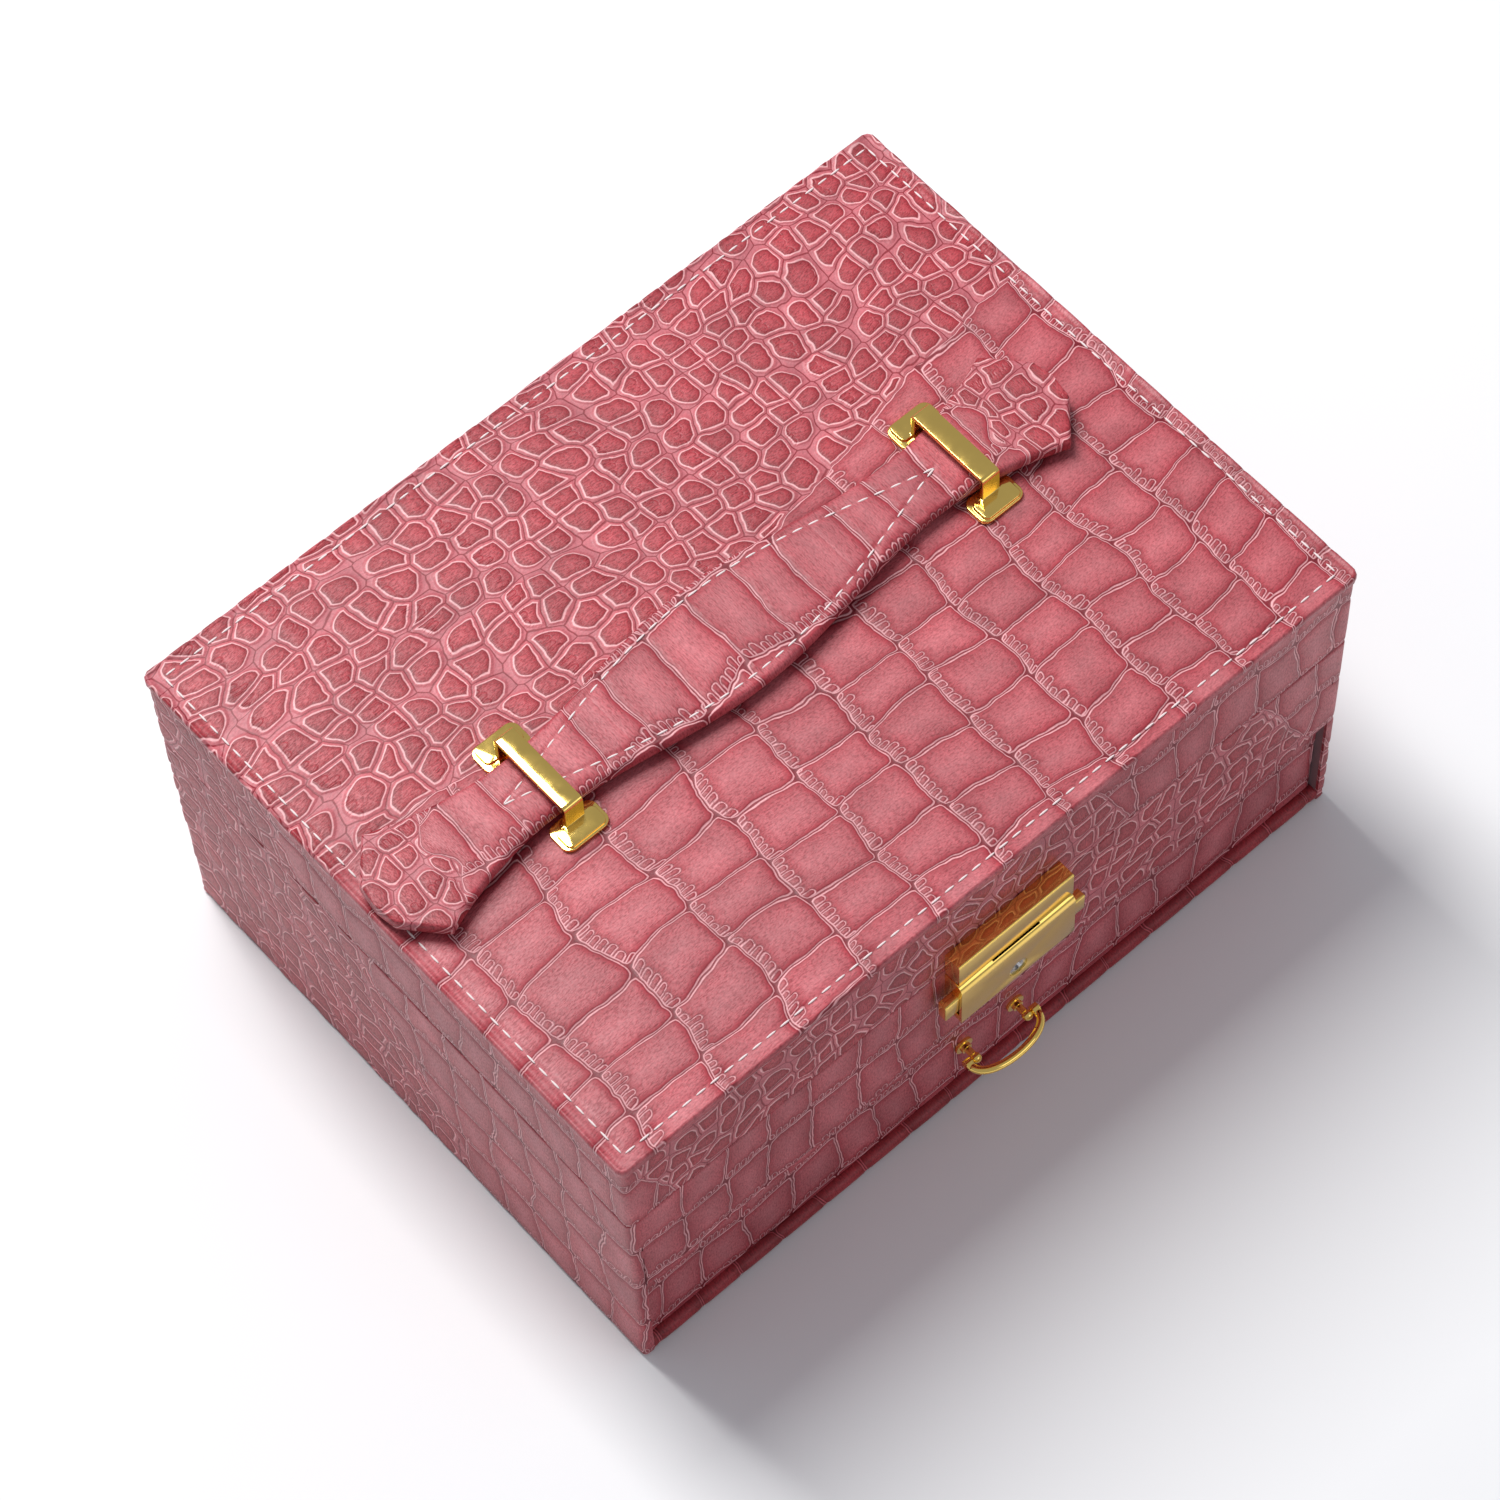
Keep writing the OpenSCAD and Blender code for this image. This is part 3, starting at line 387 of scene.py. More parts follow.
# ---------------------------------------------------------------------------
# Lid panel: a board padded with wadding under one piece of leather, its edges turned down and
# stitched round about 4 mm in with waxed thread.
panel_low, panel_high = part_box("panel_leather")
panel_half_x, panel_half_y = panel_high[0], panel_high[1]
panel_top, panel_bottom = panel_high[2], panel_low[2]
grid_step = 0.0009
panel_round = 0.0022
panel_edge_r = 0.0011
stitch_inset = 0.0040
stitch_depth, stitch_channel = 0.00035, 0.0007
padding_swell, swell_run = 0.0004, 0.02


def round_corner(x, y, half_x, half_y, radius):
    """Pulls the corner of a rectangle in to a round one."""
    dx, dy = abs(x) - (half_x - radius), abs(y) - (half_y - radius)
    if dx <= 0 or dy <= 0:
        return x, y
    scale = max(dx, dy) / math.hypot(dx, dy)
    round_x, round_y = half_x - radius + dx * scale, half_y - radius + dy * scale
    return math.copysign(round_x, x), math.copysign(round_y, y)


panel = bmesh.new()
columns, rows = round(2 * panel_half_x / grid_step), round(2 * panel_half_y / grid_step)
bmesh.ops.create_grid(panel, x_segments=columns, y_segments=rows, size=1)
flat_x, flat_y = panel_half_x - panel_edge_r, panel_half_y - panel_edge_r
for vertex in panel.verts:
    vertex.co = (vertex.co.x * flat_x, vertex.co.y * flat_y, panel_top)
# The rim turns over in steps and goes down to the lid's walls, then the bottom is closed
turn_angles = [math.radians(a) for a in (22, 45, 67, 90)]
turn_steps = [(panel_edge_r * math.sin(a), panel_edge_r * (1 - math.cos(a))) for a in turn_angles]
turn_steps += [(panel_edge_r, panel_top - panel_bottom)]
rim = [e for e in panel.edges if e.is_boundary]
previous = 0.0
for out, down in turn_steps:
    made = bmesh.ops.extrude_edge_only(panel, edges=rim)["geom"]
    rim = [g for g in made if isinstance(g, bmesh.types.BMEdge) and g.is_boundary]
    for vertex in (g for g in made if isinstance(g, bmesh.types.BMVert)):
        x, y = vertex.co.x, vertex.co.y
        if abs(abs(x) - (flat_x + previous)) < 1e-6:
            x = math.copysign(flat_x + out, x)
        if abs(abs(y) - (flat_y + previous)) < 1e-6:
            y = math.copysign(flat_y + out, y)
        vertex.co = (x, y, panel_top - down)
    previous = out
bmesh.ops.holes_fill(panel, edges=rim, sides=0)
bmesh.ops.recalc_face_normals(panel, faces=panel.faces)
for vertex in panel.verts:
    x, y, z = vertex.co
    inset = min(panel_half_x - abs(x), panel_half_y - abs(y))
    # The padding swells between the stitches and the rim, and the stitches draw the leather down
    swell = padding_swell * min(1.0, max(0.0, (inset - stitch_inset) / swell_run)) ** 0.5
    channel = -stitch_depth * math.exp(-(((inset - stitch_inset) / stitch_channel) ** 2))
    if z > panel_top - 1e-6:
        z += channel + swell - padding_swell
    vertex.co = (*round_corner(x, y, panel_half_x, panel_half_y, panel_round), z)
lid_panel = finish_mesh(panel, "lid_panel", case_leather, 0)


def panel_hide(co):
    """Columns are wider at the left, and the square scales reach further back at the right."""
    x, y = co.x * 1000, co.y * 1000
    # The pattern carries on down the rim
    drop = max(0.0, (panel_top - co.z) * 1000 - 1)
    if panel_half_x - abs(co.x) < panel_edge_r:
        x += math.copysign(drop, x)
    if panel_half_y - abs(co.y) < panel_edge_r:
        y += math.copysign(drop, y)
    across = 1.051 * (x + 0.0007 * x * x) + 305.9
    along = y + 305 + 3 * math.sin(x / 35)
    far_right = max(0.0, x - 35) * 0.22
    return (across, along, 15 - y + 3 * math.sin(x / 30) + far_right)


def panel_relief(co):
    """The embossing fades out down the rim."""
    full_above, fade = 0.0012, 0.0008
    return min(1.0, max(0.0, (co.z - panel_top + full_above) / fade))


lay_hide(lid_panel, panel_hide, panel_relief)
emboss_scales(lid_panel)
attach(lid_panel, "lid")
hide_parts("panel_leather", "panel_padding")

thread_white = plain_material("waxed_thread", tone(232, 216, 214), 0.6)


def sew(bm, points, length, radius):
    """Puts a stitch at each (place, direction, up): a short arched length of thread sunk in at its ends."""
    for place, way, up in points:
        side = up.cross(way).normalized()
        turn = Matrix((way, side, up)).transposed().to_4x4()
        stretch = Matrix.Diagonal((length / 2, radius, radius, 1))
        laid = Matrix.Translation(place) @ turn @ stretch
        bmesh.ops.create_uvsphere(bm, u_segments=8, v_segments=6, radius=1, matrix=laid)


stitch_pitch, stitch_r, stitch_sunk = 0.0042, 0.00028, 0.00058
upward = Vector((0, 0, 1))
stitched_sides = ((panel_half_x, panel_half_y, True), (panel_half_y, panel_half_x, False))
panel_stitches = bmesh.new()
for sign in (-1, 1):
    for half_run, half_other, along_x in stitched_sides:
        run = 2 * (half_run - stitch_inset)
        count = round(run / stitch_pitch)
        other = sign * (half_other - stitch_inset)
        way = Vector((1, 0, 0)) if along_x else Vector((0, 1, 0))
        places = []
        for i in range(count):
            at = -run / 2 + run * (i + 0.5) / count
            x, y = (at, other) if along_x else (other, at)
            places.append((Vector((x, y, panel_top - stitch_sunk)), way, upward))
        sew(panel_stitches, places, stitch_pitch * 0.74, stitch_r)
panel_thread = finish_mesh(panel_stitches, "panel_stitches", thread_white, 0)
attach(panel_thread, "lid")

# ---------------------------------------------------------------------------
# Walls: one strip of the same leather is glued round the body and one round the lid. Each is turned
# in over the boards' edges, so its rims are round. A front panel over the drawer carries on the scales.


def wall_path(half_x, half_y, radius):
    """Steps round the outside from the middle of the back, by the left side.
    Each is (distance, place, outward way)."""
    quarter, corner_steps = math.pi / 2 * radius, 4
    straight_x, straight_y = half_x - radius, half_y - radius
    # Each wall: where it starts, how long it is, which way it runs, and which way is outward
    walls = [
        ((0, half_y), straight_x, (-1, 0), (0, 1)),
        ((-half_x, straight_y), 2 * straight_y, (0, -1), (-1, 0)),
        ((-straight_x, -half_y), 2 * straight_x, (1, 0), (0, -1)),
        ((half_x, -straight_y), 2 * straight_y, (0, 1), (1, 0)),
        ((straight_x, half_y), straight_x, (-1, 0), (0, 1)),
    ]
    # Each corner: its centre, and the direction in degrees that it starts from
    corners = [
        ((-straight_x, straight_y), 90),
        ((-straight_x, -straight_y), 180),
        ((straight_x, -straight_y), 270),
        ((straight_x, straight_y), 0),
    ]
    path, gone = [], 0.0
    for k, ((x, y), length, (way_x, way_y), outward) in enumerate(walls):
        count = max(1, round(length / grid_step))
        for i in range(1 if k else 0, count + 1):
            d = length * i / count
            path.append((gone + d, (x + way_x * d, y + way_y * d), outward))
        gone += length
        if k < len(corners):
            (centre_x, centre_y), start = corners[k]
            for i in range(1, corner_steps + 1):
                a = math.radians(start + 90 * i / corner_steps)
                place = (centre_x + radius * math.cos(a), centre_y + radius * math.sin(a))
                path.append((gone + quarter * i / corner_steps, place, (math.cos(a), math.sin(a))))
            gone += quarter
    return path


def wall_profile(bottom, top, lip, roll=0.0006, top_turn=0.0, bottom_turn=0.0):
    """Closed outline of a skin turned in at both rims, as (inset, height, relief).
    A turn covers a board's edge."""

    def rim_step(degrees, level, way):
        a = math.radians(degrees)
        relief = 0.5 if degrees < 90 else 0.0
        return (roll - roll * math.cos(a), level + way * roll * math.sin(a), relief)

    face = top - bottom - 2 * roll
    count = max(2, round(face / grid_step))
    outline = [(0.0, bottom + roll + face * i / count, 1.0) for i in range(count + 1)]
    outline += [rim_step(a, top - roll, 1) for a in (30, 60, 90)]
    if top_turn:
        outline += [(top_turn, top, 0.0), (top_turn, top - lip, 0.0), (lip, top - lip, 0.0)]
    else:
        outline.append((lip, top, 0.0))
    if bottom_turn:
        inner = bottom + lip
        outline += [(lip, inner, 0.0), (bottom_turn, inner, 0.0), (bottom_turn, bottom, 0.0)]
    else:
        outline.append((lip, bottom, 0.0))
    outline += [rim_step(a, bottom + roll, -1) for a in (90, 60, 30)]
    return outline


def skin(name, path, outline, closed, hide_place, material):
    """Wraps a sheet along the path with the given outline, and closes it."""
    bm = bmesh.new()
    across, round_it = len(path), len(outline) + 1
    middle = (min(h for _, h, _ in outline) + max(h for _, h, _ in outline)) / 2
    bmesh.ops.create_grid(bm, x_segments=across - 1, y_segments=round_it - 1, size=1)
    hide_layer = bm.verts.layers.float_vector.new("hide")
    relief_layer = bm.verts.layers.float.new("relief")
    for vertex in bm.verts:
        i = round((vertex.co.x + 1) / 2 * (across - 1))
        j = round((vertex.co.y + 1) / 2 * (round_it - 1))
        gone, (x, y), (nx, ny) = path[i]
        inset, height, relief = outline[j % len(outline)]
        vertex.co = (x - nx * inset, y - ny * inset, height)
        # The pattern carries on over the rims
        run = height + math.copysign(inset, height - middle)
        vertex[hide_layer] = hide_place(gone * 1000, run * 1000)
        vertex[relief_layer] = relief
    bmesh.ops.remove_doubles(bm, verts=bm.verts, dist=1e-6)
    if not closed:
        bmesh.ops.holes_fill(bm, edges=[e for e in bm.edges if e.is_boundary], sides=0)
    bmesh.ops.recalc_face_normals(bm, faces=bm.faces)
    made = finish_mesh(bm, name, material, 50)
    emboss_scales(made)
    return made


case_low, case_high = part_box("body_leather")
half_x, half_y = case_high[0], case_high[1]
corner_r = 0.0016
round_walls = wall_path(half_x, half_y, corner_r)
lid_low, lid_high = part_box("lid_leather")
# Along each wall strip the scales change over at these places, in millimetres from the middle of the back
lid_marks = [160, 292, 436, 600, 700]
leather_thick = 0.0008
board_edge = 0.0031
seam_rise = 0.0001


def lid_hide(gone, height):
    return (height + 106, gone, zone(gone + 0.4 * (height - 95), lid_marks))


lid_bottom = lid_low[2] - seam_rise
lid_profile = wall_profile(lid_bottom, lid_high[2], leather_thick, bottom_turn=board_edge)
lid_wall = skin("lid_wall_leather", round_walls, lid_profile, True, lid_hide, case_leather)
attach(lid_wall, "lid")
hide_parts("lid_leather")

shelf_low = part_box("tray_shelf")[0]
opening_half = -shelf_low[0]
opening_top = shelf_low[2] - leather_thick
forward = (0, -1)
front_wall = [p for p in round_walls if p[2] == forward]
over_opening = [p for p in front_wall if abs(p[1][0]) < opening_half - 0.0002]
(first_gone, (first_x, _), _), (last_gone, (last_x, _), _) = over_opening[0], over_opening[-1]
left_edge = (first_gone - (first_x + opening_half), (-opening_half, -half_y), forward)
right_edge = (last_gone + (opening_half - last_x), (opening_half, -half_y), forward)
right_run = [p for p in round_walls if p[0] > right_edge[0] + 0.0001]
left_run = [p for p in round_walls if p[0] < left_edge[0] - 0.0001]
total_run = round_walls[-1][0]
body_marks = [205, 424, 506, 640, 740]


def body_hide(gone, height):
    return (height + 143, gone + 7, zone(gone + 0.5 * (height - 40), body_marks))


def side_hide(gone, height):
    """The strip starts at the right of the drawer's opening and passes the middle of the back."""
    return body_hide(gone % (total_run * 1000), height)


body_top = case_high[2] + seam_rise
second_round = [(gone + total_run, place, outward) for gone, place, outward in left_run[1:] + [left_edge]]
side_path = [right_edge] + right_run + second_round
side_profile = wall_profile(case_low[2], body_top, leather_thick, top_turn=board_edge)
side_walls = skin("body_wall_leather", side_path, side_profile, False, side_hide, case_leather)
front_path = [left_edge] + over_opening + [right_edge]
front_profile = wall_profile(opening_top, body_top, leather_thick, top_turn=board_edge)
front_skin = skin("front_panel_leather", front_path, front_profile, False, body_hide, case_leather)
for piece in (side_walls, front_skin):
    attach(piece, "case")
    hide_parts("body_leather")

# ---------------------------------------------------------------------------
# Drawer front and base edging: the same leather wrapped round a board that stands back from the
# walls, and round the front edge of the base, which is left as a low sill under the drawer.
front_low, front_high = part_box("drawer_front_leather")
front_run = round(2 * front_high[0] / grid_step)
front_steps = []
for i in range(front_run + 1):
    gone = i / front_run * 2 * front_high[0]
    front_steps.append((gone, (-front_high[0] + gone, front_low[1]), forward))
# This deep in the zone every scale is square
all_square = 60


def drawer_hide(gone, height):
    return (height + 177, gone + 410, all_square)


drawer_profile = wall_profile(front_low[2], front_high[2], front_high[1] - front_low[1])
drawer_front = skin(
    "drawer_front_leather_cover", front_steps, drawer_profile, False, drawer_hide, case_leather
)
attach(drawer_front, "drawer")
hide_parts("drawer_front_leather", "drawer_front_board")

sill_low, sill_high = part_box("base_edging")
sill_r = (sill_high[2] - sill_low[2]) / 2
sill_middle, sill_back = sill_low[2] + sill_r, sill_high[1] - sill_low[1]
sill_outline = []
for degrees in range(-90, 91, 15):
    a = math.radians(degrees)
    sill_outline.append((sill_r - sill_r * math.cos(a), sill_middle + sill_r * math.sin(a), 0.6))
sill_outline += [(sill_back, sill_high[2], 0.0), (sill_back, sill_low[2], 0.0)]
sill_stretch = sill_high[0] / front_high[0]
sill_steps = [(gone, (x * sill_stretch, sill_low[1]), way) for gone, (x, _), way in front_steps]
# The sill's leather is the case leather's tones made darker and redder, as painted shade for the shadow the
# sill lies in
shaded_sill_tones = []
for place, (red, green, blue) in square_tones:
    shaded_sill_tones.append((place, (red * 0.86, green * 0.5, blue * 0.55)))
shaded_sill_leather = leather_material("shaded_sill_leather", shaded_sill_tones, shaded_sill_tones, tone(90, 8, 20))


def sill_hide(gone, height):
    return (height + 113, gone + 90, all_square)


sill = skin("base_sill_leather", sill_steps, sill_outline, False, sill_hide, shaded_sill_leather)
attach(sill, "case")
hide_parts("base_edging")

# ---------------------------------------------------------------------------
# Strap handle: leather turned over a firm core, about 4 mm thick, sewn round a long leaf shape.
# It is one strap, cut here at its straight places so that each length can bend over one line.
strap_low, strap_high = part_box("handle_left_end")
strap_middle_x = (strap_low[0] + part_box("handle_right_end")[1][0]) / 2
strap_z = (strap_low[2] + strap_high[2]) / 2
strap_thick = strap_high[2] - strap_low[2]
strap_tip = 0.1054
strap_crown = 0.0004
strap_step = 0.0008
leaf_end, leaf_wide, leaf_stitch = 0.0676, 0.0131, 0.0031
strap_cuts = (-strap_tip, -0.03435, 0.0, 0.03435, strap_tip)


def strap_half(u):
    """Half the strap's width at a distance from its middle.
    It is wide at the grip, narrow at the loops, and widens again before its rounded ends."""
    u = abs(u) * 1000
    loop_at, end_at, tip_at, narrow = 60, 96, 104, 9.3
    if u <= loop_at:
        half = narrow + 6.7 * math.cos(math.radians(1.5 * u)) ** 2
    elif u <= end_at:
        half = narrow + 7.7 * ((u - loop_at) / 37) ** 1.9
    elif u < tip_at:
        half = 16.6 - 1.1 * (u - end_at) ** 1.02
    else:
        half = 7.5 * max(0.02, 1 - ((u - tip_at) / 1.4) ** 2) ** 0.5
    return half / 1000


def strap_outline(half):
    """Section of the strap as (across, height, relief): tightly turned edges, slightly crowned."""
    edge_r, half_thick = min(0.0013, half * 0.6), strap_thick / 2
    flat = half - edge_r

    def edge_step(i, side):
        t = math.radians(90 - 22.5 * i)
        height = half_thick * math.sin(t) - strap_crown * (1 - i / 8)
        return (side * (flat + edge_r * math.cos(t)), height, 0.0)

    points = []
    for i in range(33):
        a = -1 + i / 16
        points.append((flat * a, half_thick - strap_crown * abs(a) ** 3, min(1.0, 6 - 6 * abs(a))))
    points += [edge_step(i, 1) for i in range(1, 8)]
    points += [(flat * (1 - i / 4), -half_thick, 0.0) for i in range(9)]
    points += [edge_step(i, -1) for i in range(7, 0, -1)]
    return points


def leaf_half(u):
    """Half-width of the sewn leaf shape."""
    return leaf_wide * math.cos(math.radians(90 * min(1.0, abs(u) / leaf_end))) ** 1.15


strap_sides = ["left_end", "left_span", "middle", "right_span", "right_end"]
strap_nodes = ["handle_" + side for side in strap_sides]
strap_turns = [(-0.0647, -0.0349), (-0.034, -0.006), (0.006, 0.034), (0.0349, 0.0647)]
leaf_count = round(2 * leaf_end / stitch_pitch)
for k, (turn_start, turn_end) in enumerate(strap_turns):
    start, end = strap_cuts[k], strap_cuts[k + 1]
    steps = round((end - start) / strap_step)
    round_it = len(strap_outline(strap_half(0)))
    strap = bmesh.new()
    bmesh.ops.create_grid(strap, x_segments=steps, y_segments=round_it, size=1)
    hide_layer = strap.verts.layers.float_vector.new("hide")
    relief_layer = strap.verts.layers.float.new("relief")
    for vertex in strap.verts:
        u = start + (end - start) * round((vertex.co.x + 1) / 2 * steps) / steps
        j = round((vertex.co.y + 1) / 2 * round_it) % round_it
        across, height, relief = strap_outline(strap_half(u))[j]
        # The sewing draws the leather down a little
        seam = 0.0
        if abs(u) < leaf_end and height > 0:
            seam = math.exp(-(((abs(across) - leaf_half(u)) / 0.0006) ** 2))
        vertex.co = (strap_middle_x + u, across, strap_z + height - 0.0003 * seam)
        # One square column spans the strap, and the round scales at its ends are drawn closer
        closer = min(1.0, max(0.0, (abs(u) * 1000 - 74) / 16))
        unrolled = (across + math.copysign(strap_thick / 2 - height, across)) * 1000
        column_at = 143.5 + (unrolled + 13) * 0.76 + unrolled * 0.45 * closer
        length_at = u * 1000 + 700 + math.copysign(8 * closer * closer, u)
        squares_for = 84 - abs(u) * 1000 + 2 * math.sin(across * 400)
        vertex[hide_layer] = (column_at, length_at, squares_for)
        # The cut ends stay as they are, so that neighbouring lengths meet
        vertex[relief_layer] = relief if start < u < end else 0.0
    bmesh.ops.remove_doubles(strap, verts=strap.verts, dist=1e-6)
    bmesh.ops.holes_fill(strap, edges=[e for e in strap.edges if e.is_boundary], sides=0)
    bmesh.ops.recalc_face_normals(strap, faces=strap.faces)
    length = finish_mesh(strap, "strap_length_%d" % (k + 1), case_leather, 50)
    emboss_scales(length)
    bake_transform(length)
    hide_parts(strap_nodes[k], strap_nodes[k + 1])

    leaf = bmesh.new()
    places = []
    for i in range(leaf_count):
        u = -leaf_end + 2 * leaf_end * (i + 0.5) / leaf_count
        if not start <= u < end:
            continue
        for side in (-1, 1):
            across = side * leaf_half(u)
            slope = side * (leaf_half(u + 0.0005) - leaf_half(u - 0.0005)) / 0.001
            way = Vector((1, slope, 0)).normalized()
            flat = max(0.001, strap_half(u) - strap_thick / 2)
            crown = strap_thick / 2 - strap_crown * abs(across / flat) ** 3
            place = Vector((strap_middle_x + u, across, strap_z + crown - 0.0002))
            places.append((place, way, upward))
    sew(leaf, places, leaf_stitch, stitch_r)
    leaf_thread = finish_mesh(leaf, "strap_stitches_%d" % (k + 1), thread_white, 0)
    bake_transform(leaf_thread)

# ---------------------------------------------------------------------------
# Gilt hardware: the loops, lock, hasp, slider, hinges and pull are cast or pressed in zinc alloy,
# polished with eased edges and plated bright gold. Screws, rivets, springs and pins are steel.
worn = bpy.data.node_groups.new("fine_wear", "ShaderNodeTree")
new_socket(worn, "Low", "INPUT", "NodeSocketFloat")
new_socket(worn, "High", "INPUT", "NodeSocketFloat")
new_socket(worn, "Roughness", "OUTPUT", "NodeSocketFloat")
worn_in = worn.nodes.new("NodeGroupInput")
spots = noise(worn, put(worn, "ShaderNodeTexCoord").outputs["Object"], 320.0, 3.0)
worn_ends = (worn_in.outputs["Low"], worn_in.outputs["High"])
worn_roughness = spread(worn, spots.outputs["Fac"], (0.3, 0.7), worn_ends)
worn_out = worn.nodes.new("NodeGroupOutput")
worn.links.new(worn_roughness, worn_out.inputs["Roughness"])


def metal(name, colour, low, high):
    material = plain_material(name, colour, low, 1.0)
    tree = material.node_tree
    wear = put(tree, "ShaderNodeGroup", {}, node_tree=worn)
    wear.inputs["Low"].default_value, wear.inputs["High"].default_value = low, high
    tree.links.new(wear.outputs["Roughness"], tree.nodes["Principled BSDF"].inputs["Roughness"])
    return material


gilt = metal("gilt", (1.0, 0.69, 0.18, 1), 0.07, 0.14)
steel = metal("steel", (0.55, 0.55, 0.56, 1), 0.25, 0.45)


def round_edges(bm, edges, width, segments, clamp=False):
    bmesh.ops.bevel(
        bm,
        geom=edges,
        offset=width,
        offset_type="OFFSET",
        affect="EDGES",
        segments=segments,
        profile=0.5,
        material=-1,
        clamp_overlap=clamp,
    )


def ease_edges(node, name, body, material, width, segments=3, angle=30):
    """A made piece the shape of its CAD node, with its sharp edges eased."""
    bm = bmesh.new()
    bm.from_mesh(nodes[node].data)
    bmesh.ops.remove_doubles(bm, verts=bm.verts, dist=1e-6)
    bmesh.ops.dissolve_limit(bm, angle_limit=math.radians(1), verts=bm.verts, edges=bm.edges)
    if width:
        inner_edges = [e for e in bm.edges if len(e.link_faces) == 2]
        sharp = [e for e in inner_edges if e.calc_face_angle(0) > math.radians(angle)]
        round_edges(bm, sharp, width, segments, clamp=True)
    bmesh.ops.triangulate(bm, faces=[f for f in bm.faces if len(f.verts) > 4])
    made = finish_mesh(bm, name, material, angle)
    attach(made, body)
    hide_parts(node)
    return made


for node, name, body, width in (
    ("left_loop", "left_strap_loop", "lid", 0.00045),
    ("right_loop", "right_strap_loop", "lid", 0.00045),
    ("hasp", "hasp_block", "lid", 0.00025),
    ("lock_case", "lock_cover", "case", 0.0002),
    ("lock_base_plate", "lock_plate", "case", 0.0),
    ("release_slider", "release_tabs", "release", 0.00035),
    ("pull_posts", "pull_knob_posts", "drawer", 0.0001),
    ("drawer_pull", "drawer_bail", "pull", 0.0),
    ("body_hinge_leaves", "body_leaves", "case", 0.00015),
    ("lid_hinge_leaves", "lid_leaves", "lid", 0.00015),
    ("body_hinge_rivets", "body_leaf_rivets", "case", 0.00015),
    ("lid_hinge_rivets", "lid_leaf_rivets", "lid", 0.00015),
):
    ease_edges(node, name, body, gilt, width)
for node, name, body in (
    ("lock_rivets", "lock_fixing_rivets", "case"),
    ("latch_springs", "release_springs", "case"),
    ("hinge_pins", "hinge_pin_rods", "case"),
    ("key_cylinder", "key_barrel_plug", "key_barrel"),
    ("hasp_rivets", "hasp_fixing_rivets", "lid"),
    ("loop_screws", "loop_fixing_screws", "lid"),
    ("pull_nuts", "pull_fixing_nuts", "drawer"),
):
    made = ease_edges(node, name, body, steel, 0.0)
    if node == "latch_springs":
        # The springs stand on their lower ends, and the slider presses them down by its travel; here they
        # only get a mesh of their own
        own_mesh(made)

# ---------------------------------------------------------------------------
# Linings: short-pile velvet glued to the tray, the lid and the drawer. The dividers are card with a
# thin pad under the same velvet. The ring rolls are wadding rolled in velvet and pressed side by side
# into their bay.
pile = bpy.data.node_groups.new("short_pile", "ShaderNodeTree")
new_socket(pile, "Colour", "INPUT", "NodeSocketColor")
new_socket(pile, "Depth", "INPUT", "NodeSocketFloat")
new_socket(pile, "Colour", "OUTPUT", "NodeSocketColor")
new_socket(pile, "Normal", "OUTPUT", "NodeSocketVector")
pile_in, pile_out = pile.nodes.new("NodeGroupInput"), pile.nodes.new("NodeGroupOutput")
pile_at = put(pile, "ShaderNodeTexCoord").outputs["Object"]
brushed = noise(pile, pile_at, 28.0, 3.0)
hairs = noise(pile, pile_at, 2600.0, 2.0)
lay_of_pile = spread(pile, brushed.outputs["Fac"], (0.3, 0.7), (0.82, 1.05))
pile_colour = mix_tones(pile, 1.0, pile_in.outputs["Colour"], lay_of_pile, "MULTIPLY")
pile.links.new(pile_colour, pile_out.inputs["Colour"])
pile_look = {"Strength": 0.5, "Distance": pile_in.outputs["Depth"], "Height": hairs.outputs["Fac"]}
pile_bump = put(pile, "ShaderNodeBump", pile_look)
pile.links.new(pile_bump.outputs[0], pile_out.inputs["Normal"])


def pile_material(name, colour, depth):
    """Short pile or a soft paper face: dull, and brushed slightly this way and that."""
    material = plain_material(name, colour, 0.9)
    tree = material.node_tree
    shader = tree.nodes["Principled BSDF"]
    face = put(tree, "ShaderNodeGroup", {}, node_tree=pile)
    face.inputs["Colour"].default_value, face.inputs["Depth"].default_value = colour, depth
    tree.links.new(face.outputs["Colour"], shader.inputs["Base Color"])
    tree.links.new(face.outputs["Normal"], shader.inputs["Normal"])
    shader.inputs["Sheen Weight"].default_value = 0.6
    shader.inputs["Sheen Roughness"].default_value = 0.45
    return material


velvet = pile_material("velvet", tone(222, 204, 186), 0.0002)
for node, name, body, width in (
    ("tray_lining", "tray_velvet", "case", 0.0),
    ("lid_lining", "lid_velvet", "lid", 0.0),
    ("drawer_lining", "drawer_velvet", "drawer", 0.0),
    ("long_divider", "long_padded_divider", "case", 0.0011),
    ("cross_dividers", "cross_padded_dividers", "case", 0.0011),
    ("front_divider", "front_padded_divider", "case", 0.0011),
    ("drawer_dividers", "drawer_padded_dividers", "drawer", 0.0011),
):
    lined = ease_edges(node, name, body, velvet, width, 4)

roll_low, roll_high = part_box("ring_rolls")
roll_x, roll_y, roll_z = (high - low for low, high in zip(roll_low, roll_high))
roll_count, roll_gap, roll_sag = 5, 0.0002, 0.0005
roll_pitch = (roll_y + 2 * roll_gap) / roll_count
rolls = bmesh.new()
for i in range(roll_count):
    roll_at = roll_low[1] - roll_gap + roll_pitch * (i + 0.5)
    middle = Vector(((roll_low[0] + roll_high[0]) / 2, roll_at, (roll_low[2] + roll_high[2]) / 2))
    size = Matrix.Diagonal((roll_x, roll_pitch - roll_gap, roll_z, 1))
    corners = bmesh.ops.create_cube(rolls, size=1, matrix=Matrix.Translation(middle) @ size)["verts"]
    upper = [e for e in rolls.edges if all(v in corners and v.co.z > middle.z for v in e.verts)]
    top_edges = [e for e in upper if abs(e.verts[0].co.x - e.verts[1].co.x) > 0.01]
    round_edges(rolls, top_edges, roll_pitch / 2 - 0.0003, 8)
ends = []
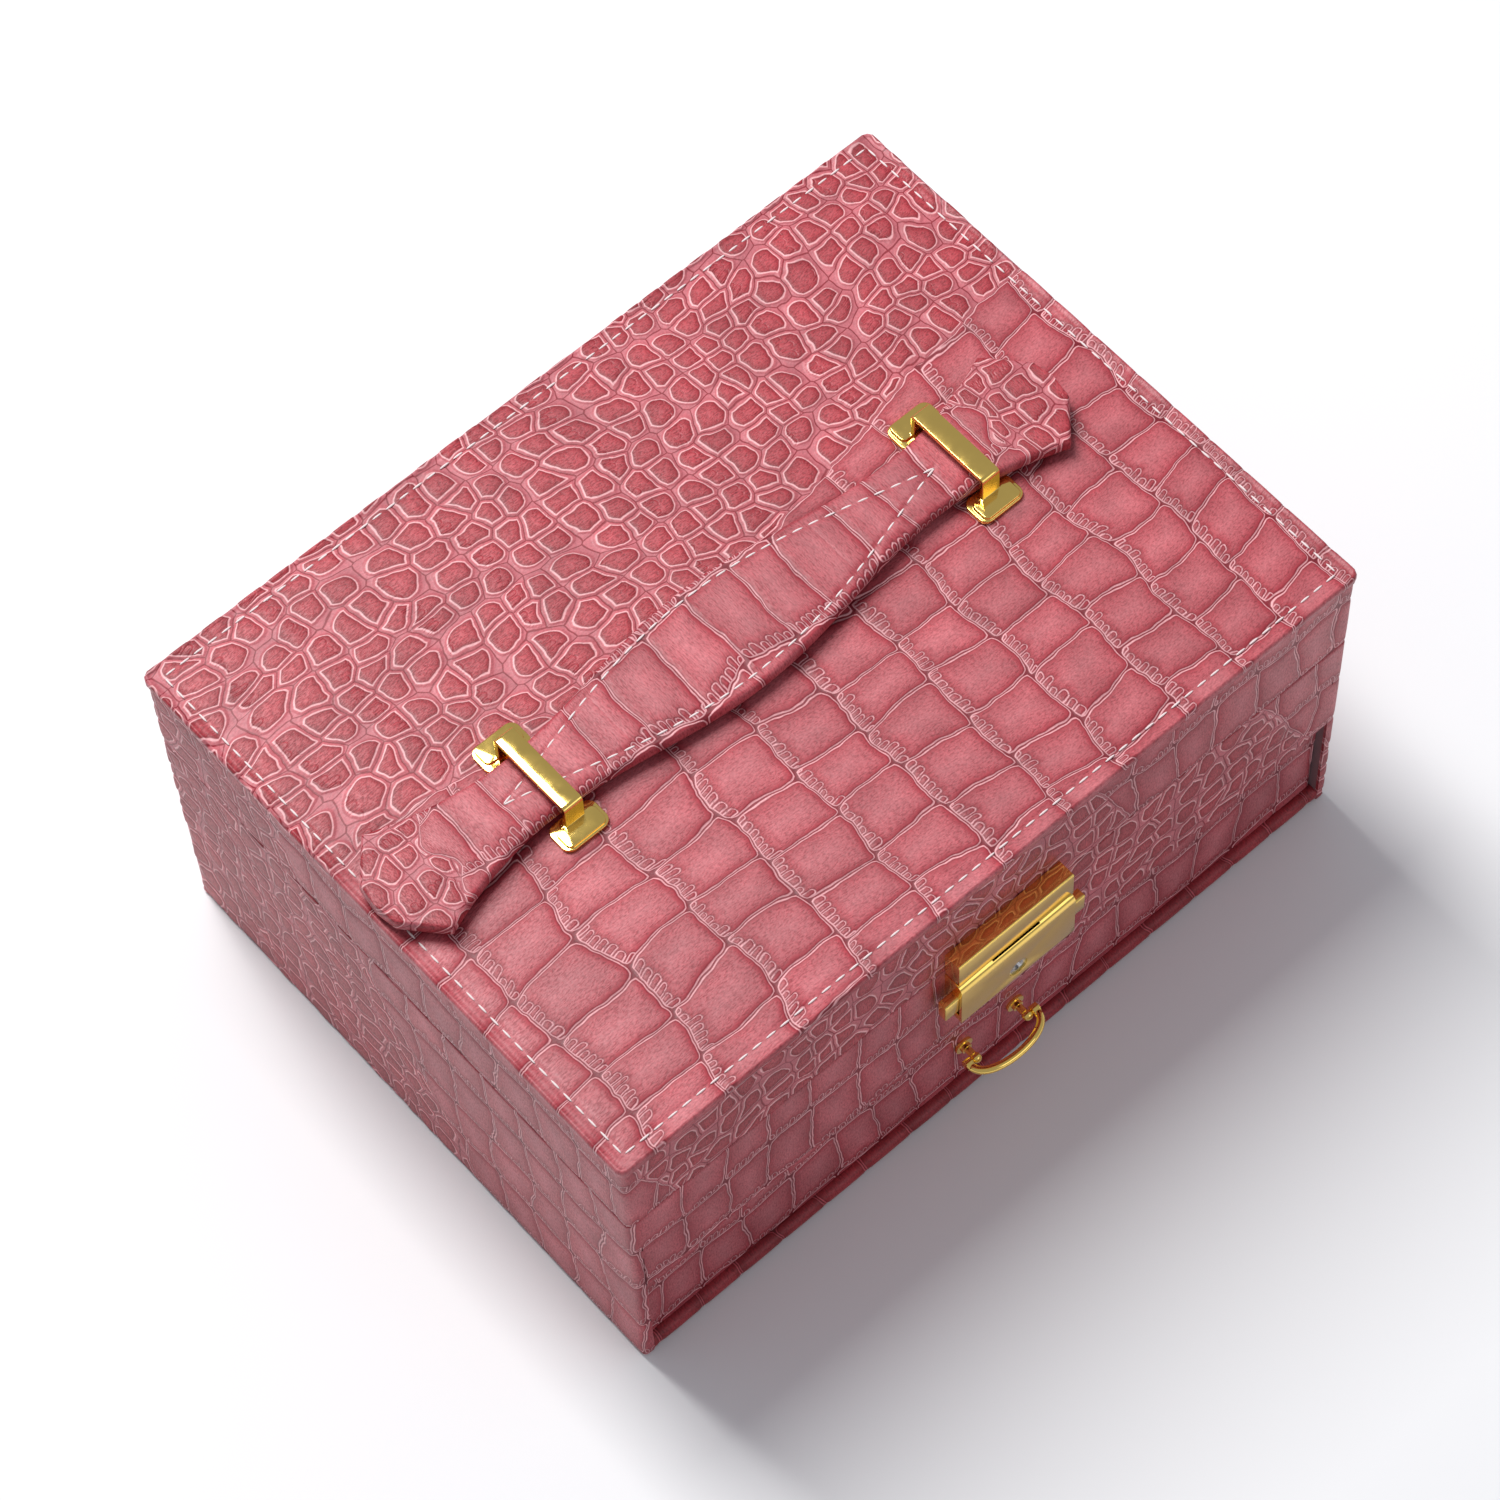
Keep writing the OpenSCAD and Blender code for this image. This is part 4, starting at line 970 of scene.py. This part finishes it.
for edge in rolls.edges:
    facing = [abs(f.normal.x) for f in edge.link_faces]
    if len(facing) == 2 and min(facing) < 0.5 < max(facing):
        ends.append(edge)
round_edges(rolls, ends, 0.0016, 3)
long_edges = [e for e in rolls.edges if e.calc_length() > 0.05]
bmesh.ops.subdivide_edges(rolls, edges=long_edges, cuts=48, use_grid_fill=True)
for vertex in rolls.verts:
    x, y, z = vertex.co
    height = (z - roll_low[2]) / roll_z
    # The wadding is not quite even, so the rolls dip and pucker a little along their length
    uneven = math.sin(x * 190 + y * 500) * math.sin(x * 67 + y * 210)
    vertex.co.z -= roll_sag * height * (1 + uneven)
ring_rolls = finish_mesh(rolls, "padded_ring_rolls", velvet, 60)
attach(ring_rolls, "case")
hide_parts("ring_rolls")

# ---------------------------------------------------------------------------
# Mirror: silvered glass held in the lid by a frame covered in plain red leather.
smooth_leather = plain_material("smooth_leather", tone(176, 62, 72), 0.45)
tree = smooth_leather.node_tree
grain_at = put(tree, "ShaderNodeTexCoord").outputs["Object"]
grain = put(tree, "ShaderNodeTexVoronoi", {"Vector": grain_at, "Scale": 900.0})
grain_look = {"Strength": 0.4, "Distance": 0.0002, "Height": grain.outputs["Distance"]}
bump = put(tree, "ShaderNodeBump", grain_look)
tree.links.new(bump.outputs[0], tree.nodes["Principled BSDF"].inputs["Normal"])
silvered = plain_material("silvered_glass", (0.9, 0.92, 0.92, 1), 0.02, 1.0)
ease_edges("mirror_frame", "mirror_surround", "lid", smooth_leather, 0.0008)
ease_edges("mirror_glass", "mirror_plate", "lid", silvered, 0.0)

# ---------------------------------------------------------------------------
# Boards and felt: board faced with dark red paper, cut and glued, with felt under the base. The drawer's
# own boards are covered in cream paper. Most of it is hidden by leather and velvet.
board = pile_material("red_faced_board", tone(112, 34, 44), 0.00006)
paper = pile_material("cream_paper", tone(214, 196, 176), 0.00004)
felt = pile_material("base_felt", tone(46, 42, 44), 0.0002)
for node, cad_piece in nodes.items():
    if cad_piece.hide_render:
        continue
    finish = board
    if node == "base_felt":
        finish = felt
    elif node.startswith("drawer"):
        finish = paper
    cad_piece.data.materials.clear()
    cad_piece.data.materials.append(finish)
